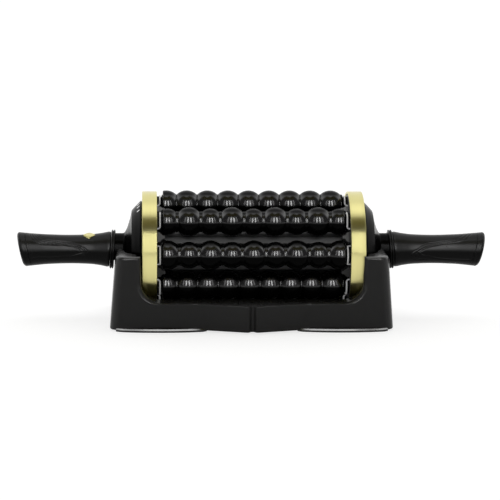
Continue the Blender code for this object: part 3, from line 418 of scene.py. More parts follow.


# Plastics: name, colour, roughness, specular, grain's size and depth, speckle, dust,
# gleam of flat tops, density and gleam of faces that look down; both gleams are painted shade.
plastics = {
    "satin_black": ("domeBlack", (0.0030, 0.0030, 0.0032), 0.22, 0.08, 2600.0, 3e-6, 0.1, 0.01, 0.3),
    "bead_black": ("beadBlack", (0.0035, 0.0035, 0.0036), 0.18, 0.74, 1500.0, 3e-6, 0.6, 0.02, 0.05, 1.78,
                   0.015),
    "core_grey": ("coreGrey", (0.16, 0.16, 0.164), 0.34, 0.45, 2200.0, 12e-6, 0.25, 0.03),
    "grip_black": ("gripBlack", (0.015, 0.015, 0.0153), 0.30, 0.50, 2800.0, 6e-6, 0.2, 0.02, 0.28),
    "dock_black": ("dockBlack", (0.066, 0.066, 0.067), 0.16, 0.70, 2400.0, 3e-6, 0.12, 0.01, 1.0, 1.5, 0.12),
    "lip_black": ("lipBlack", (0.030, 0.030, 0.0305), 0.20, 1.0, 2400.0, 3e-6, 0.12, 0.01, 1.0, 2.5, 0.06),
    "gear_nylon": ("gearNylon", (0.66, 0.64, 0.57), 0.42, 0.5, 1800.0, 1e-5, 0.05, 0.0),
    "cell_wrap": ("cellWrap", (0.05, 0.15, 0.33), 0.34, 0.5, 900.0, 8e-6, 0.1, 0.0),
    "sleeve_foam": ("sleeveFoam", (0.09, 0.09, 0.09), 0.92, 0.2, 900.0, 2e-4, 0.5, 0.0),
    "board_green": ("boardGreen", (0.02, 0.14, 0.05), 0.40, 0.5, 500.0, 1e-5, 0.3, 0.0),
    "light_white": ("lightWhite", (0.80, 0.81, 0.82), 0.30, 0.5, 900.0, 3e-6, 0.04, 0.0),
    "foot_rubber": ("footRubber", (0.028, 0.028, 0.028), 0.80, 0.3, 1600.0, 4e-5, 0.35, 0.05),
}
# Brushed metals: name, colour, roughness, stretch, tone, size of the lines, metal.
steel = ((0.93, 0.93, 0.93), 0.45, 0.2, 0.05, 6000.0, 0.3)
metals = {
    "pale_gold": ("paleGold", (0.76, 0.70, 0.31), 0.36, 0.95, 0.03),
    "bright_steel": ("brightSteel", *steel),
    "wire_bright": ("wireBright", *steel),
}
finishes = {slot: mouldedPlastic(*values) for slot, values in plastics.items()}
finishes |= {slot: brushedMetal(*values) for slot, values in metals.items()}
finishes["gear_steel"] = grainyMetal("gearSteel", (0.42, 0.42, 0.43), 0.36)

# The status lights glow as lit lights; the cup wires' glow is a painted highlight, as they are no lamp.
for finish, glow in (("light_white", 0.5), ("wire_bright", 0.15)):
    finishes[finish].node_tree.nodes["Principled BSDF"].inputs["Emission Strength"].default_value = glow

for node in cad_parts.values():  # the CAD pieces that stay take the same finishes
    for holder in node.material_slots:
        if holder.material:
            holder.material = finishes.get(holder.material.name.split(".")[0], holder.material)
print("materials made")


# Beaded rollers.

rollers = {
    "count": 8, "restAngle": 3.2, "circleRadius": 0.048, "steps": 80, "beads": 9, "halfLength": 0.0962,
    "largeRadius": 0.0156, "smallRadius": 0.0141, "neckRadius": 0.0110, "boreRadius": 0.0029,
    "beadSteps": 25, "valley": 0.0003, "endRound": 0.0006, "endClear": 0.0005,
    # The four kinds in turn: pitch, shift, and whether the odd (1) or even (0) beads are small.
    "kinds": ((0.0229, 0, 1), (0.0229, 0, 0), (0.0221, -0.0041, None), (0.0221, -0.0041, None)),
}
allRollers = range(rollers["count"])


def rollerAngle(number):
    return math.radians(rollers["restAngle"]) + math.tau * number / rollers["count"]


def atRoller(bm, number):
    angle, radius = rollerAngle(number), rollers["circleRadius"]
    place = Vector((0, -radius * math.cos(angle), radius * math.sin(angle)))
    return moved(bm, place + Vector((0, 0, axisHeight)))


def beadProfile(pitch, shift, smallOnes):
    # Round beads on a neck, the valleys between them slightly softened.
    end, bore, rounding = rollers["halfLength"], rollers["boreRadius"], rollers["endRound"]
    first = shift - pitch * (rollers["beads"] - 1) / 2
    points = []
    for bead in range(-1, rollers["beads"] + 1):
        middle = first + pitch * bead
        radius = rollers["smallRadius"] if bead % 2 == smallOnes else rollers["largeRadius"]
        reach = min(math.acos(rollers["neckRadius"] / radius),
                    math.asin((pitch / 2 - rollers["valley"]) / radius))
        for step in range(rollers["beadSteps"]):
            angle = reach * (2 * step / (rollers["beadSteps"] - 1) - 1)
            points.append((middle + radius * math.sin(angle), radius * math.cos(angle)))
    kept = [point for point in points if abs(point[0]) < end - rollers["endClear"]]
    left, right = profileAt(points, -end), profileAt(points, end)
    return ([(-end, bore), (-end, left - rounding), (-end + rounding / 2, left)] + kept
            + [(end - rounding / 2, right), (end, right - rounding), (end, bore)])


for number in allRollers:
    kind = rollers["kinds"][number % len(rollers["kinds"])]
    shape = atRoller(latheShape(beadProfile(*kind), rollers["steps"], height=0), number)
    newPiece(f"beadedRoller{number + 1}", shape, f"roller_{number + 1}_body", "bead_black",
             f"roller_{number + 1}", sharp=50)
print("rollers made")


# Fluted core.

core = {
    "fluteRadius": 0.0165, "ridgeRadius": 0.0368, "ridgeRound": 0.0016, "fluteSteps": 14,
    "halfLength": 0.1056, "collarRadius": 0.0371, "collarLength": 0.009, "collarRound": 0.0004,
    "boreRadius": 0.0273, "boreSteps": 48, "seatRadius": 0.0325, "seatDepth": 0.0072,
    "steps": 96,
}


def flutedOutline():
    circle, ridge, flute = rollers["circleRadius"], core["ridgeRadius"], core["fluteRadius"]
    half = math.acos((circle ** 2 + ridge ** 2 - flute ** 2) / (2 * circle * ridge))
    sweep = math.atan2(ridge * math.sin(half), circle - ridge * math.cos(half))
    arc = arcPoints((circle, 0), flute, math.pi + sweep, math.pi - sweep, core["fluteSteps"])
    points = []
    for turn in map(rollerAngle, allRollers):
        points += [(-(u * math.cos(turn) - v * math.sin(turn)), u * math.sin(turn) + v * math.cos(turn))
                   for u, v in arc]
    return softened(points, core["ridgeRound"], 3)


def makeCore():
    end, bore, radius = core["halfLength"], core["boreRadius"], core["collarRadius"]
    start = end - core["collarLength"]
    length = start + overlap
    hole = arcPoints((0, 0), bore, 0, math.tau, core["boreSteps"])[:-1]
    loops = [[(y, z + axisHeight) for y, z in loop] for loop in (flutedOutline(), hole)]
    newPiece("flutedCore", platePiece(loops, -length, length), "drum", "core_grey", "drum_core")
    seat, floor = core["seatRadius"], end - core["seatDepth"]
    profile = [(start, bore), (start, radius), (end, radius), (end, seat), (floor, seat), (floor, bore)]
    profile = softened(profile, core["collarRound"], 2)
    for side, word in sides:
        newPiece(f"{word}CoreCollar", latheShape(mirrored(profile, side), core["steps"]), "drum", "core_grey")


makeCore()
print("core made")


# Bearing cups, lugs, flanges and gold end bands.

ends = {
    "bandRadius": 0.0623, "bandWall": 0.0022, "bandStart": 0.1025, "bandEnd": 0.1183, "bandRound": 0.0009,
    "flangeStart": 0.1059, "flangeEnd": 0.1179, "flangeRadius": 0.0598, "flangeLip": 0.0043,
    "flangeRound": 0.0005, "bearingRadius": 0.0328, "tubeClear": 0.0273,
    "plateStart": 0.1026, "plateEnd": 0.1056, "plateRadius": 0.0585, "plateBore": 0.0374,
    "plateRound": 0.0004, "plateBevel": 0.00025,
    "cupRadius": 0.0092, "cupReach": 0.0042, "cupCorner": 0.0020, "cupBore": 0.0031, "cupSteps": 48,
    "cupDrop": 0.6, "cupTurn": 0.8,
    "skirtGap": 0.0001, "skirtRadius": 0.0114, "skirtDrop": 0.001, "skirtEdge": 0.0006,
    "wireRadius": 0.00085, "wireLift": 0.0004, "wireSides": 8, "wireCorner": 0.0032, "wireTuck": 0.3,
    "wireCornerSteps": 6, "wireSteps": 28,
    "lugWidth": 0.0115, "lugReach": 0.0060, "lugRoot": 0.0005, "lugSlope": 0.0028, "lugTop": 0.050,
    "lugFoot": 0.0376, "lugRound": 0.0008, "lugFold": 0.3,
    "noseWidth": 0.0046, "noseReach": 0.0028, "noseTaper": 0.0004,
    "plateSteps": 96, "flangeSteps": 128, "bandSteps": 160,
}


def cupShape(side, number):
    # A round cup over a roller's end, with a skirt that hides the axle.
    radius, bore, skirt, corner = [ends[key] for key in ("cupRadius", "cupBore", "skirtRadius", "cupCorner")]
    face, root = ends["plateStart"] - ends["cupReach"], ends["plateStart"] + overlap
    start = rollers["halfLength"] + ends["skirtGap"]
    profile = [(root, bore), (start, bore), (start, skirt - ends["skirtDrop"]),
               (start + ends["skirtEdge"], skirt), (face - overlap, radius - corner * ends["cupDrop"])]
    profile += arcPoints((face + corner, radius - corner), corner, math.pi * ends["cupTurn"], math.pi / 2, 5)
    profile += [(root, radius)]
    return atRoller(latheShape(mirrored(profile, side), ends["cupSteps"], height=0), number)


def wireAlong(points, radius, sideCount):
    # A round wire through the given points, closed at both ends.
    points = [Vector(point) for point in points]
    levels = []
    for number, point in enumerate(points):
        ahead = points[min(number + 1, len(points) - 1)] - points[max(number - 1, 0)]
        outward = (point - Vector((point.x, 0, 0))).normalized()
        across = ahead.cross(outward).normalized()
        outward = across.cross(ahead).normalized()
        levels.append([point + radius * (math.cos(turn) * across + math.sin(turn) * outward)
                       for turn in (math.tau * step / sideCount for step in range(sideCount))])
    return lofted(levels)


def cupWire(side):
    # The line along the outer half of a cup, bright from a painted glow: in along one side, over the rim and
    # back.
    radius, corner, foot = ends["cupRadius"] + ends["wireLift"], ends["wireCorner"], -math.pi / 2
    face = ends["plateStart"] - ends["cupReach"] + corner * ends["wireTuck"]
    turn = corner / radius
    path = [(ends["plateStart"], foot)]
    path += [(face + corner * (1 - math.sin(angle)), foot + turn * (1 - math.cos(angle)))
             for angle in quarterTurn(ends["wireCornerSteps"])]
    back = [(x, -angle) for x, angle in path[::-1]]
    path += [(face, foot + turn + (math.pi - 2 * turn) * step / ends["wireSteps"])
             for step in range(1, ends["wireSteps"])]
    points = [(side * x, radius * math.sin(angle), radius * math.cos(angle)) for x, angle in path + back]
    return wireAlong(points, ends["wireRadius"], ends["wireSides"])


def lugBlock(side):
    # Wide at the plate, with a nose that reaches in between two rollers.
    half, nose, taper = ends["lugWidth"] / 2, ends["noseWidth"] / 2, ends["noseTaper"]
    root, face = ends["plateStart"] + ends["lugRoot"], ends["plateStart"] - ends["lugReach"]
    tip, slope = face - ends["noseReach"], face + ends["lugSlope"]
    outline = [(root, -half), (root, half), (slope, half), (face, nose), (tip, nose - taper),
               (tip, taper - nose), (face, -nose), (slope, -half)]
    bm = uprightBlock([(side * x, y) for x, y in outline], ends["lugFoot"], ends["lugTop"])
    folds = [edge for edge in bm.edges if edge.calc_face_angle(0) > ends["lugFold"]]
    roundEdges(bm, folds, ends["lugRound"], 3)
    return tidied(bm)


def roundTheDrum(bm, number):
    turn = Matrix.Rotation(math.pi / 2 - rollerAngle(number), 3, "X")
    bmesh.ops.rotate(bm, cent=(0, 0, 0), matrix=turn, verts=bm.verts)
    return moved(bm, (0, 0, axisHeight))


def ringShape(start, end, inner, outer, rounding, roundSteps, side, steps):
    profile = [(start, inner), (start, outer), (end, outer), (end, inner)]
    return latheShape(mirrored(softened(profile, rounding, roundSteps), side), steps)


def makeDrumEnd(side, word):
    cups = [cupShape(side, number) for number in allRollers]
    newPiece(f"{word}BearingCups", gathered(cups), "drum", "satin_black")
    blocks = [ringShape(ends["plateStart"], ends["plateEnd"], ends["plateBore"], ends["plateRadius"],
                        ends["plateRound"], 2, side, ends["plateSteps"])]
    blocks += [roundTheDrum(lugBlock(side), number - 0.5) for number in allRollers]
    bevelled(newPiece(f"{word}Retainer", gathered(blocks), "drum", "core_grey", f"{word}_retainer"),
             ends["plateBevel"])
    lift = (0, 0, rollers["circleRadius"])
    trim = [roundTheDrum(moved(cupWire(side), lift), number) for number in allRollers]
    # The cup wires carry a painted highlight: their finish glows.
    newPiece(f"{word}CupTrim", gathered(trim), "drum", "wire_bright", slot="bright_steel")
    near, far, lip = ends["flangeStart"], ends["flangeEnd"], ends["flangeStart"] + ends["flangeLip"]
    rim, seat, bore = ends["flangeRadius"], ends["bearingRadius"], ends["tubeClear"]
    flange = softened([(near, bore), (near, rim), (far, rim), (far, seat), (lip, seat), (lip, bore)],
                      ends["flangeRound"], 2)
    newPiece(f"{word}Flange", latheShape(mirrored(flange, side), ends["flangeSteps"]), "drum", "satin_black",
             f"{word}_flange")
    radius = ends["bandRadius"]
    band = ringShape(ends["bandStart"], ends["bandEnd"], radius - ends["bandWall"], radius, ends["bandRound"],
                     5, side, ends["bandSteps"])
    newPiece(f"{word}GoldBand", band, "drum", "pale_gold", f"{word}_ring")


for side, word in sides:
    makeDrumEnd(side, word)
print("drum ends made")


# Domes, status lights and collars.

dome = {
    "rimFace": 0.1189, "rimRadius": 0.0525, "rimEdge": 0.0006, "rimStep": 0.0003, "rimFall": 0.0001,
    "length": 0.0192, "neckRadius": 0.0173,
    "neckEnd": 0.1477, "wall": 0.0024, "steps": 128, "insideStart": 0.0004,
    "ringFace": 0.1181, "ringDrop": 0.0012, "ringLap": 0.0004,
    "spigotRadius": 0.012, "spigotBore": 0.0095, "spigotEnd": 0.165, "spigotRoot": 0.004,
    "insideShift": (0.0022, 0.0012), "insideLeast": 0.0225,
    "slope": ((0, 1), (0.09, 0.967), (0.224, 0.892), (0.39, 0.80), (0.552, 0.70)),
    "bell": ((0.552, 0.70), (0.590, 0.60), (0.615, 0.523), (0.66, 0.425), (0.745, 0.276), (0.82, 0.160),
             (0.906, 0.068), (0.96, 0.022), (1.03, 0.0)),
}
lights = {
    "count": 3, "place": 0.18, "first": 66.0, "step": 9.5, "length": 0.0042, "width": 0.0013, "depth": 0.0012,
    "proud": 0.0002, "corner": 0.0006, "edge": 0.00012, "span": 0.0008,
}
collar = {
    "start": 0.1478, "end": 0.1525, "radius": 0.021, "shoulder": 0.0188, "groove": 0.0199, "lean": 3.5,
    "bore": 0.0123, "steps": 96, "slope": 0.0007, "grooveHalf": 0.0003, "round": 0.0005,
}


def domeLine():
    fall = dome["rimRadius"] - dome["neckRadius"]
    points = []
    for line in (dome["slope"], dome["bell"]):
        places = [(dome["rimFace"] + along * dome["length"], dome["neckRadius"] + down * fall)
                  for along, down in line]
        points += smoothLine(places, 5)[(1 if points else 0):]
    return points


def makeDome(side, word):
    # The ring inside the rim and the spigot in the neck close the seams to the eye.
    outside = domeLine()
    face, rim, neck, edge = dome["rimFace"], dome["rimRadius"], dome["neckEnd"], dome["rimEdge"]
    bore, lip, ring = rim - dome["wall"] - dome["ringLap"], rim - dome["ringDrop"], dome["ringFace"]
    profile = [(face + edge, bore), (ring, bore), (ring, lip), (face, lip), (face, rim - edge),
               (face + dome["rimStep"], rim - dome["rimFall"])]
    profile += outside[1:]
    tip, spigot, hollow = dome["spigotEnd"], dome["spigotRadius"], dome["spigotBore"]
    profile += [(neck, dome["neckRadius"]), (neck, spigot), (tip, spigot), (tip, hollow),
                (neck - dome["spigotRoot"], hollow)]
    along, down = dome["insideShift"]
    inside = [(x - along, radius - down) for x, radius in outside if radius > dome["insideLeast"]][::-1]
    profile += [point for point in inside if point[0] > face + dome["insideStart"]]
    newPiece(f"{word}Dome", latheShape(mirrored(profile, side), dome["steps"]), "handle", "satin_black",
             f"{word}_dome", sharp=24)


def lightMatrix(number):
    outside, span = domeLine(), lights["span"]
    x = dome["rimFace"] + lights["place"] * dome["length"]
    slope = math.atan2(profileAt(outside, x - span) - profileAt(outside, x + span), 2 * span)
    angle = math.radians(lights["first"] + lights["step"] * number)
    return (Matrix.Translation((0, 0, axisHeight)) @ Matrix.Rotation(math.pi / 2 - angle, 4, "X")
            @ Matrix.Translation((-x, 0, profileAt(outside, x))) @ Matrix.Rotation(-slope, 4, "Y"))


def makeStatusLight(number):
    bm = bmesh.new()
    proud, depth = lights["proud"], lights["depth"]
    size = Matrix.Diagonal((lights["length"], lights["width"], depth + proud, 1))
    bmesh.ops.create_cube(bm, size=1, matrix=Matrix.Translation((0, 0, (proud - depth) / 2)) @ size)
    upright = [edge for edge in bm.edges if abs((edge.verts[0].co - edge.verts[1].co).normalized().z) > 0.9]
    roundEdges(bm, upright, lights["corner"], 4)
    rim = [edge for edge in bm.edges if all(abs(end.co.z - proud) < mergeDistance for end in edge.verts)]
    roundEdges(bm, rim, lights["edge"], 2)
    bmesh.ops.transform(bm, matrix=lightMatrix(number), verts=bm.verts)
    newPiece(f"statusLight{number + 1}", tidied(bm), "handle", "light_white", f"speed_light_{number + 1}")


def sheared(bm, side, degrees, weight=lambda distance: 1):
    # Leans a shape along X by its height over the axis; weight(distance) fades the lean.
    for corner in bm.verts:
        lift = corner.co.z - axisHeight
        corner.co.x += side * lift * math.tan(math.radians(degrees)) * weight(abs(corner.co.x))
    return bm


def makeCollar(side, word):
    start, end, radius, shoulder = [collar[size] for size in ("start", "end", "radius", "shoulder")]
    middle, slope, half, groove = (start + end) / 2, collar["slope"], collar["grooveHalf"], collar["groove"]
    profile = [(start, collar["bore"]), (start, shoulder), (start + slope, radius), (middle - slope, radius),
               (middle - half, groove), (middle + half, groove), (middle + slope, radius),
               (end - slope, radius), (end, shoulder), (end, collar["bore"])]
    bm = latheShape(mirrored(softened(profile, collar["round"], 3), side), collar["steps"])
    newPiece(f"{word}Collar", sheared(bm, side, -collar["lean"]), "handle", "grip_black", f"{word}_collar",
             slot="satin_black")


for side, word in sides:
    makeDome(side, word)
    makeCollar(side, word)
for number in range(lights["count"]):
    makeStatusLight(number)
print("domes and collars made")


# Grips with their moulded wave lines, and their end caps.

grip = {
    "start": 0.1526, "end": 0.249, "endTilt": 12.0, "tiltStart": 0.200, "tiltEase": 1.5, "leanLength": 0.022,
    "steps": 256, "ringStep": 0.0004, "bore": 0.0123,
    "capThickness": 0.009, "capRound": 0.0036, "capRoundSteps": 8, "capEdge": 0.0003, "capSteps": 96,
    "line": ((0.1526, 0.0183), (0.1532, 0.0187), (0.1547, 0.0189), (0.1568, 0.0186), (0.1610, 0.0177),
             (0.1655, 0.0170), (0.1700, 0.0164), (0.1750, 0.0160), (0.1800, 0.01575), (0.1870, 0.0155),
             (0.1950, 0.0154), (0.2040, 0.0155), (0.2130, 0.0158), (0.2220, 0.0162), (0.2300, 0.0168),
             (0.2390, 0.0176), (0.2430, 0.0180), (0.2530, 0.0187)),
    "wrapRadius": 0.0158,  # degrees round the grip become metres at this radius
    "skinRadius": 0.0148,  # nothing nearer the axis is pressed in
    "lineDepth": 0.00045, "lineWidth": 0.0008, "creaseDepth": 0.00050, "creaseWidth": 0.0018,
}
# Each line is a row of (millimetres along the axis, degrees up from the front).
leftLines = (
    ((236.2, 90), (234.6, 57), (231.8, 42), (227.9, 33), (221.5, 29), (213.6, 27), (205.7, 26)),
    ((234.8, 95), (232.6, 62), (229.5, 46), (224.7, 37), (216.8, 33), (205.7, 29), (193.8, 21)),
    ((232.4, 100), (230.6, 67), (227.1, 51), (221.5, 43), (213.6, 39), (201.7, 32), (189.9, 18), (185.1, 6)),
    ((230.8, 100), (229.1, 73), (225.5, 60), (219.2, 51), (209.7, 45), (197.8, 37), (188.3, 21), (182.7, 9)),
    ((229.1, 100), (227.1, 78), (223.1, 65), (216.8, 57), (207.3, 49), (193.8, 38), (185.1, 24), (180.4, 15)),
    ((185.1, 15), (181.1, 1), (183.9, -13)),
    ((182.7, 17), (179.2, 2), (181.9, -13)),
    ((180.7, 18), (177.2, 4), (179.6, -13)),
)
leftCrease = ((181.5, -2), (185.9, -6), (197.8, -18), (213.6, -24), (229.5, -22), (238.0, -26))
rightLines = (
    ((177.4, 7), (183.0, 22), (189.5, 33), (201.6, 41), (213.7, 49), (223.3, 62), (228.2, 90)),
    ((178.2, 1), (185.4, 17), (194.3, 28), (205.6, 36), (217.7, 45), (227.4, 59), (232.2, 90)),
    ((180.6, -2), (189.5, 16), (201.6, 27), (213.7, 34), (224.1, 41), (230.6, 56), (235.4, 90)),
    ((183.0, 8), (178.2, -2), (181.4, -21)),
    ((177.4, 7), (175.0, 4), (170.9, -13), (175.0, -31), (181.4, -43)),
    ((178.2, 1), (175.0, -17), (179.8, -32), (189.5, -37)),
)
rightCrease = ((183.0, -8), (184.6, -11), (194.3, -25), (205.6, -33), (221.7, -36), (236.0, -33))


def lineDistance(along, around, line):
    # How far each point of the grip is from one line, measured over the surface in metres.
    nearest = numpy.full(along.shape, 1.0)
    places = [(u / 1000, math.radians(v) * grip["wrapRadius"]) for u, v in smoothLine(line, 4)]
    for (x0, y0), (x1, y1) in zip(places, places[1:]):
        dx, dy = x1 - x0, y1 - y0
        t = numpy.clip(((along - x0) * dx + (around - y0) * dy) / (dx * dx + dy * dy), 0, 1)
        nearest = numpy.minimum(nearest, numpy.hypot(along - x0 - t * dx, around - y0 - t * dy))
    return nearest


def pressLines(bm, lines, crease):
    corners = bm.verts[:]
    places = numpy.array([corner.co[:] for corner in corners])
    along = numpy.abs(places[:, 0])
    angle = numpy.arctan2(places[:, 2] - axisHeight, -places[:, 1])
    folded = numpy.sign(angle) * (math.pi - numpy.abs(angle))  # front and back carry the same lines
    around = numpy.where(numpy.abs(angle) > math.pi / 2, folded, angle) * grip["wrapRadius"]
    radius = numpy.hypot(places[:, 2] - axisHeight, places[:, 1])
    sink = numpy.zeros(len(corners))
    presses = [(line, grip["lineDepth"], grip["lineWidth"]) for line in lines]
    for line, depth, width in presses + [(crease, grip["creaseDepth"], grip["creaseWidth"])]:
        distance = lineDistance(along, around, line)
        sink = numpy.maximum(sink, depth * numpy.exp(-(distance / (width / 2)) ** 2))
    scale = numpy.where(radius > grip["skinRadius"], 1 - sink / numpy.maximum(radius, 0.001), 1)
    for corner, share in zip(corners, scale):
        corner.co.y *= share
        corner.co.z = axisHeight + (corner.co.z - axisHeight) * share


button = {
    "place": -0.175, "angle": 80.0, "halfLength": 0.0064, "halfWidth": 0.0066, "roundness": 1.35, "steps": 48,
    "top": 0.0166, "foot": 0.0110, "pocketFoot": 0.0096, "pocketTop": 0.020, "edge": 0.0005,
    "padRise": 0.0001, "padSink": 0.0008, "padScale": 0.74, "padEdge": 0.00008, "fold": 0.5,
}
socket = {
    "halfWidth": 0.00475, "halfHeight": 0.0019, "flat": 0.0003, "cornerSteps": 6,
    "depth": 0.009, "proud": 0.004,
}


def buttonOutline(grow=0, scale=1.0):
    power = 2 / button["roundness"]
    length, width = button["halfLength"] * scale + grow, button["halfWidth"] * scale + grow
    points = []
    for angle in (math.tau * step / button["steps"] for step in range(button["steps"])):
        along, across = [math.copysign(abs(part) ** power, part)
                         for part in (math.cos(angle), math.sin(angle))]
        points.append((length * along, width * across))
    return points


def onButtonSeat(bm):
    turn = Matrix.Rotation(math.pi / 2 - math.radians(button["angle"]), 4, "X")
    place = Matrix.Translation((button["place"], 0, axisHeight))
    bmesh.ops.transform(bm, matrix=place @ turn, verts=bm.verts)
    return bm


def socketBlock():
    half, tall, flat = socket["halfWidth"] + seamGap, socket["halfHeight"] + seamGap, socket["flat"]
    outline = []
    for number, (sy, sz) in enumerate(((1, 1), (-1, 1), (-1, -1), (1, -1))):
        outline += arcPoints((sy * (half - tall + flat), sz * flat), tall - flat, math.pi / 2 * number,
                             math.pi / 2 * (number + 1), socket["cornerSteps"])
    bm = platePiece([outline], -socket["depth"], socket["proud"])
    tilt = Matrix.Rotation(math.radians(grip["endTilt"]), 4, "Y")
    place = Matrix.Translation((grip["end"], 0, axisHeight))
    bmesh.ops.transform(bm, matrix=place @ tilt, verts=bm.verts)
    return tidied(bm)


def makeGrip(side, word, lines, crease):
    start, last = grip["start"], grip["end"] - grip["capThickness"]
    count = round((last - start) / grip["ringStep"])
    places = [start + (last - start) * step / count for step in range(count + 1)]
    line = smoothLine(grip["line"], 8)
    profile = [(x, profileAt(line, x)) for x in places] + [(places[-1], grip["bore"]), (start, grip["bore"])]
    bm = latheShape(mirrored(profile, side), grip["steps"])
    pressLines(bm, lines, crease)
    tilted = grip["tiltStart"]
    sheared(bm, side, grip["endTilt"],
            lambda distance: max((distance - tilted) / (places[-1] - tilted), 0) ** grip["tiltEase"])
    sheared(bm, side, -collar["lean"], lambda distance: max(1 - (distance - start) / grip["leanLength"], 0))
    if side < 0:
        pocket = uprightBlock(buttonOutline(seamGap), button["pocketFoot"], button["pocketTop"])
        bm = cutAway(bm, onButtonSeat(pocket))
    newPiece(f"{word}Grip", bm, "handle", "grip_black", f"{word}_grip", sharp=45)
    makeGripCap(side, word, line, places[-1] + seamGap)


def makeGripCap(side, word, line, start):
    end, rounding, edge = grip["end"], grip["capRound"], grip["capEdge"]
    first, rim = profileAt(grip["line"], start), profileAt(grip["line"], end)
    profile = [(start, 0), (start, first - edge), (start + edge, first)]
    profile += [point for point in line if start < point[0] < end - rounding][1:]
    profile += [(end - rounding * (1 - math.sin(angle)), rim - rounding * (1 - math.cos(angle)))
                for angle in quarterTurn(grip["capRoundSteps"])]
    profile += [(end, 0)]
    cap = sheared(latheShape(mirrored(profile, side), grip["capSteps"], closed=False), side, grip["endTilt"])
    if side > 0:
        cap = cutAway(cap, socketBlock())
    newPiece(f"{word}GripCap", cap, "handle", "grip_black", f"{word}_grip_cap", sharp=40)


makeGrip(-1, "left", leftLines, leftCrease)
makeGrip(1, "right", rightLines, rightCrease)
print("grips made")


def makeButtonPart(name, outline, low, high, edge, segments, *stands):
    bm = uprightBlock(outline, low, high)
    rim = [side for side in bm.edges if side.calc_face_angle(0) > button["fold"]
           and all(abs(end.co.z - high) < mergeDistance for end in side.verts)]
    roundEdges(bm, rim, edge, segments)
    newPiece(name, onButtonSeat(tidied(bm)), "button", "pale_gold", *stands)


makeButtonPart("powerButtonRim", buttonOutline(), button["foot"], button["top"], button["edge"], 3,
               "power_button")
makeButtonPart("powerButtonPad", buttonOutline(0, button["padScale"]), button["top"] - button["padSink"],
               button["top"] + button["padRise"], button["padEdge"], 2)
print("button made")


# Dock.

dock = {
    "shift": -0.002, "halfWidth": 0.1505, "topHalfWidth": 0.1443, "topDip": 0.0017, "flatHalfDepth": 0.012,
    "dipHalfDepth": 0.024, "halfDepth": 0.068, "top": 0.080, "standoff": 0.0012,
    "footRound": 0.0015, "footSteps": 3, "topRound": 0.0035, "topSteps": 5,
    "corner": 0.010, "cornerSteps": 10, "bevel": 0.0008,
    "bulge": 0.014, "bulgeHalfWidth": 0.0575, "bulgeSoft": 0.002, "softFrom": 0.05,
    "grooveHalfWidth": 0.0047, "grooveFloor": 0.0012, "grooveDepth": 0.0038, "grooveEdge": 0.0005,
    "frontPlaces": (0.09, 0.0635, 0.0575, 0.0515, 0.03, 0.0058, 0.0047, 0.0036, 0.0012),
}
opening = {
    "halfWidth": 0.1222, "innerHalfWidth": 0.1173, "flareDepth": 0.006, "floor": 0.030, "corner": 0.0216,
    "floorFlare": 0.0012, "cornerSteps": 14, "flareSteps": 7, "above": 0.004, "wallFoot": 0.02,
    "outside": 0.090, "inside": 0.045, "floorPlaces": (0.0635, 0.0575, 0.0515, 0.03, 0.0058, 0.0047, 0.0012),
}
room = {
    "troughRadius": 0.0652, "troughHalfLength": 0.1225, "clearance": 0.0014, "endShare": 1.6, "least": 0.0004,
    "saddleEnd": 0.160, "above": 0.006, "steps": 40, "recessInset": 0.003, "recessTop": 0.0047,
    "below": -0.002,
}
lips = {
    "reach": 0.0075, "start": 0.0480, "end": 0.1440, "steps": 24, "root": 0.0665, "fullness": 0.45,
    "foot": 0.0002, "edge": 0.0022, "top": 0.0035, "slope": 1.4,
}


def bulgeAt(x):
    # How far the front stands out past its flat part, groove included.
    full, groove = dock["bulge"], dock["bulge"] - dock["grooveDepth"]
    line = ((0, groove), (dock["grooveFloor"], groove), (dock["grooveHalfWidth"], full),
            (dock["bulgeHalfWidth"], 0))
    return profileAt(line, abs(x))


def dockOutline(halfWidth, dip=0.0, inset=0.0):
    wide, deep, corner = halfWidth - inset, dock["halfDepth"] - inset, dock["corner"] - inset
    quarter = [(wide - dip, dock["flatHalfDepth"]), (wide - dip, dock["dipHalfDepth"])]
    quarter += arcPoints((wide - corner, deep - corner), corner, 0, math.pi / 2, dock["cornerSteps"])
    for x in dock["frontPlaces"]:
        out = bulgeAt(x)
        if x > dock["softFrom"]:
            out = (bulgeAt(x - dock["bulgeSoft"]) + out + bulgeAt(x + dock["bulgeSoft"])) / 3
        if x == dock["grooveHalfWidth"]:
            out -= dock["grooveEdge"]
        quarter.append((x, deep + out))
    points = quarter + [(-x, y) for x, y in quarter[::-1]]
    return points + [(-x, -y) for x, y in points]


def shifted(points, height):
    return [(x + dock["shift"], y, height) for x, y in points]


def dockLevel(height, inset):
    share = (height - dock["standoff"]) / (dock["top"] - dock["standoff"])
    wide = dock["halfWidth"] + (dock["topHalfWidth"] - dock["halfWidth"]) * share
    return shifted(dockOutline(wide, dock["topDip"] * share, inset), height)


def openingStation(flare, depthAt):
    # One outline of the U-shaped opening, at the depth that depthAt gives for each x.
    wide = opening["innerHalfWidth"] + (opening["halfWidth"] - opening["innerHalfWidth"]) * flare
    floor, corner = opening["floor"] - opening["floorFlare"] * flare, opening["corner"]
    right = [(wide, dock["top"] + opening["above"]), (wide, dock["top"] - opening["wallFoot"])]
    right += arcPoints((wide - corner, floor + corner), corner, 0, -math.pi / 2, opening["cornerSteps"])
    right += [(x, floor) for x in opening["floorPlaces"]]
    return [(x + dock["shift"], depthAt(x), z) for x, z in right + [(-x, z) for x, z in right[::-1]]]


def openingShape():
    stations = [openingStation(1, lambda x: -opening["outside"])]
    for angle in quarterTurn(opening["flareSteps"]):
        depth = opening["flareDepth"] * (1 - math.cos(angle))
        share = 1 - depth / opening["flareDepth"]
        flare = 1 - math.sqrt(max(1 - share * share, 0))
        stations.append(openingStation(flare, lambda x: depth - dock["halfDepth"] - bulgeAt(x)))
    stations.append(openingStation(0, lambda x: -opening["inside"]))
    return lofted(stations + [[(x, -y, z) for x, y, z in station] for station in stations[::-1]])


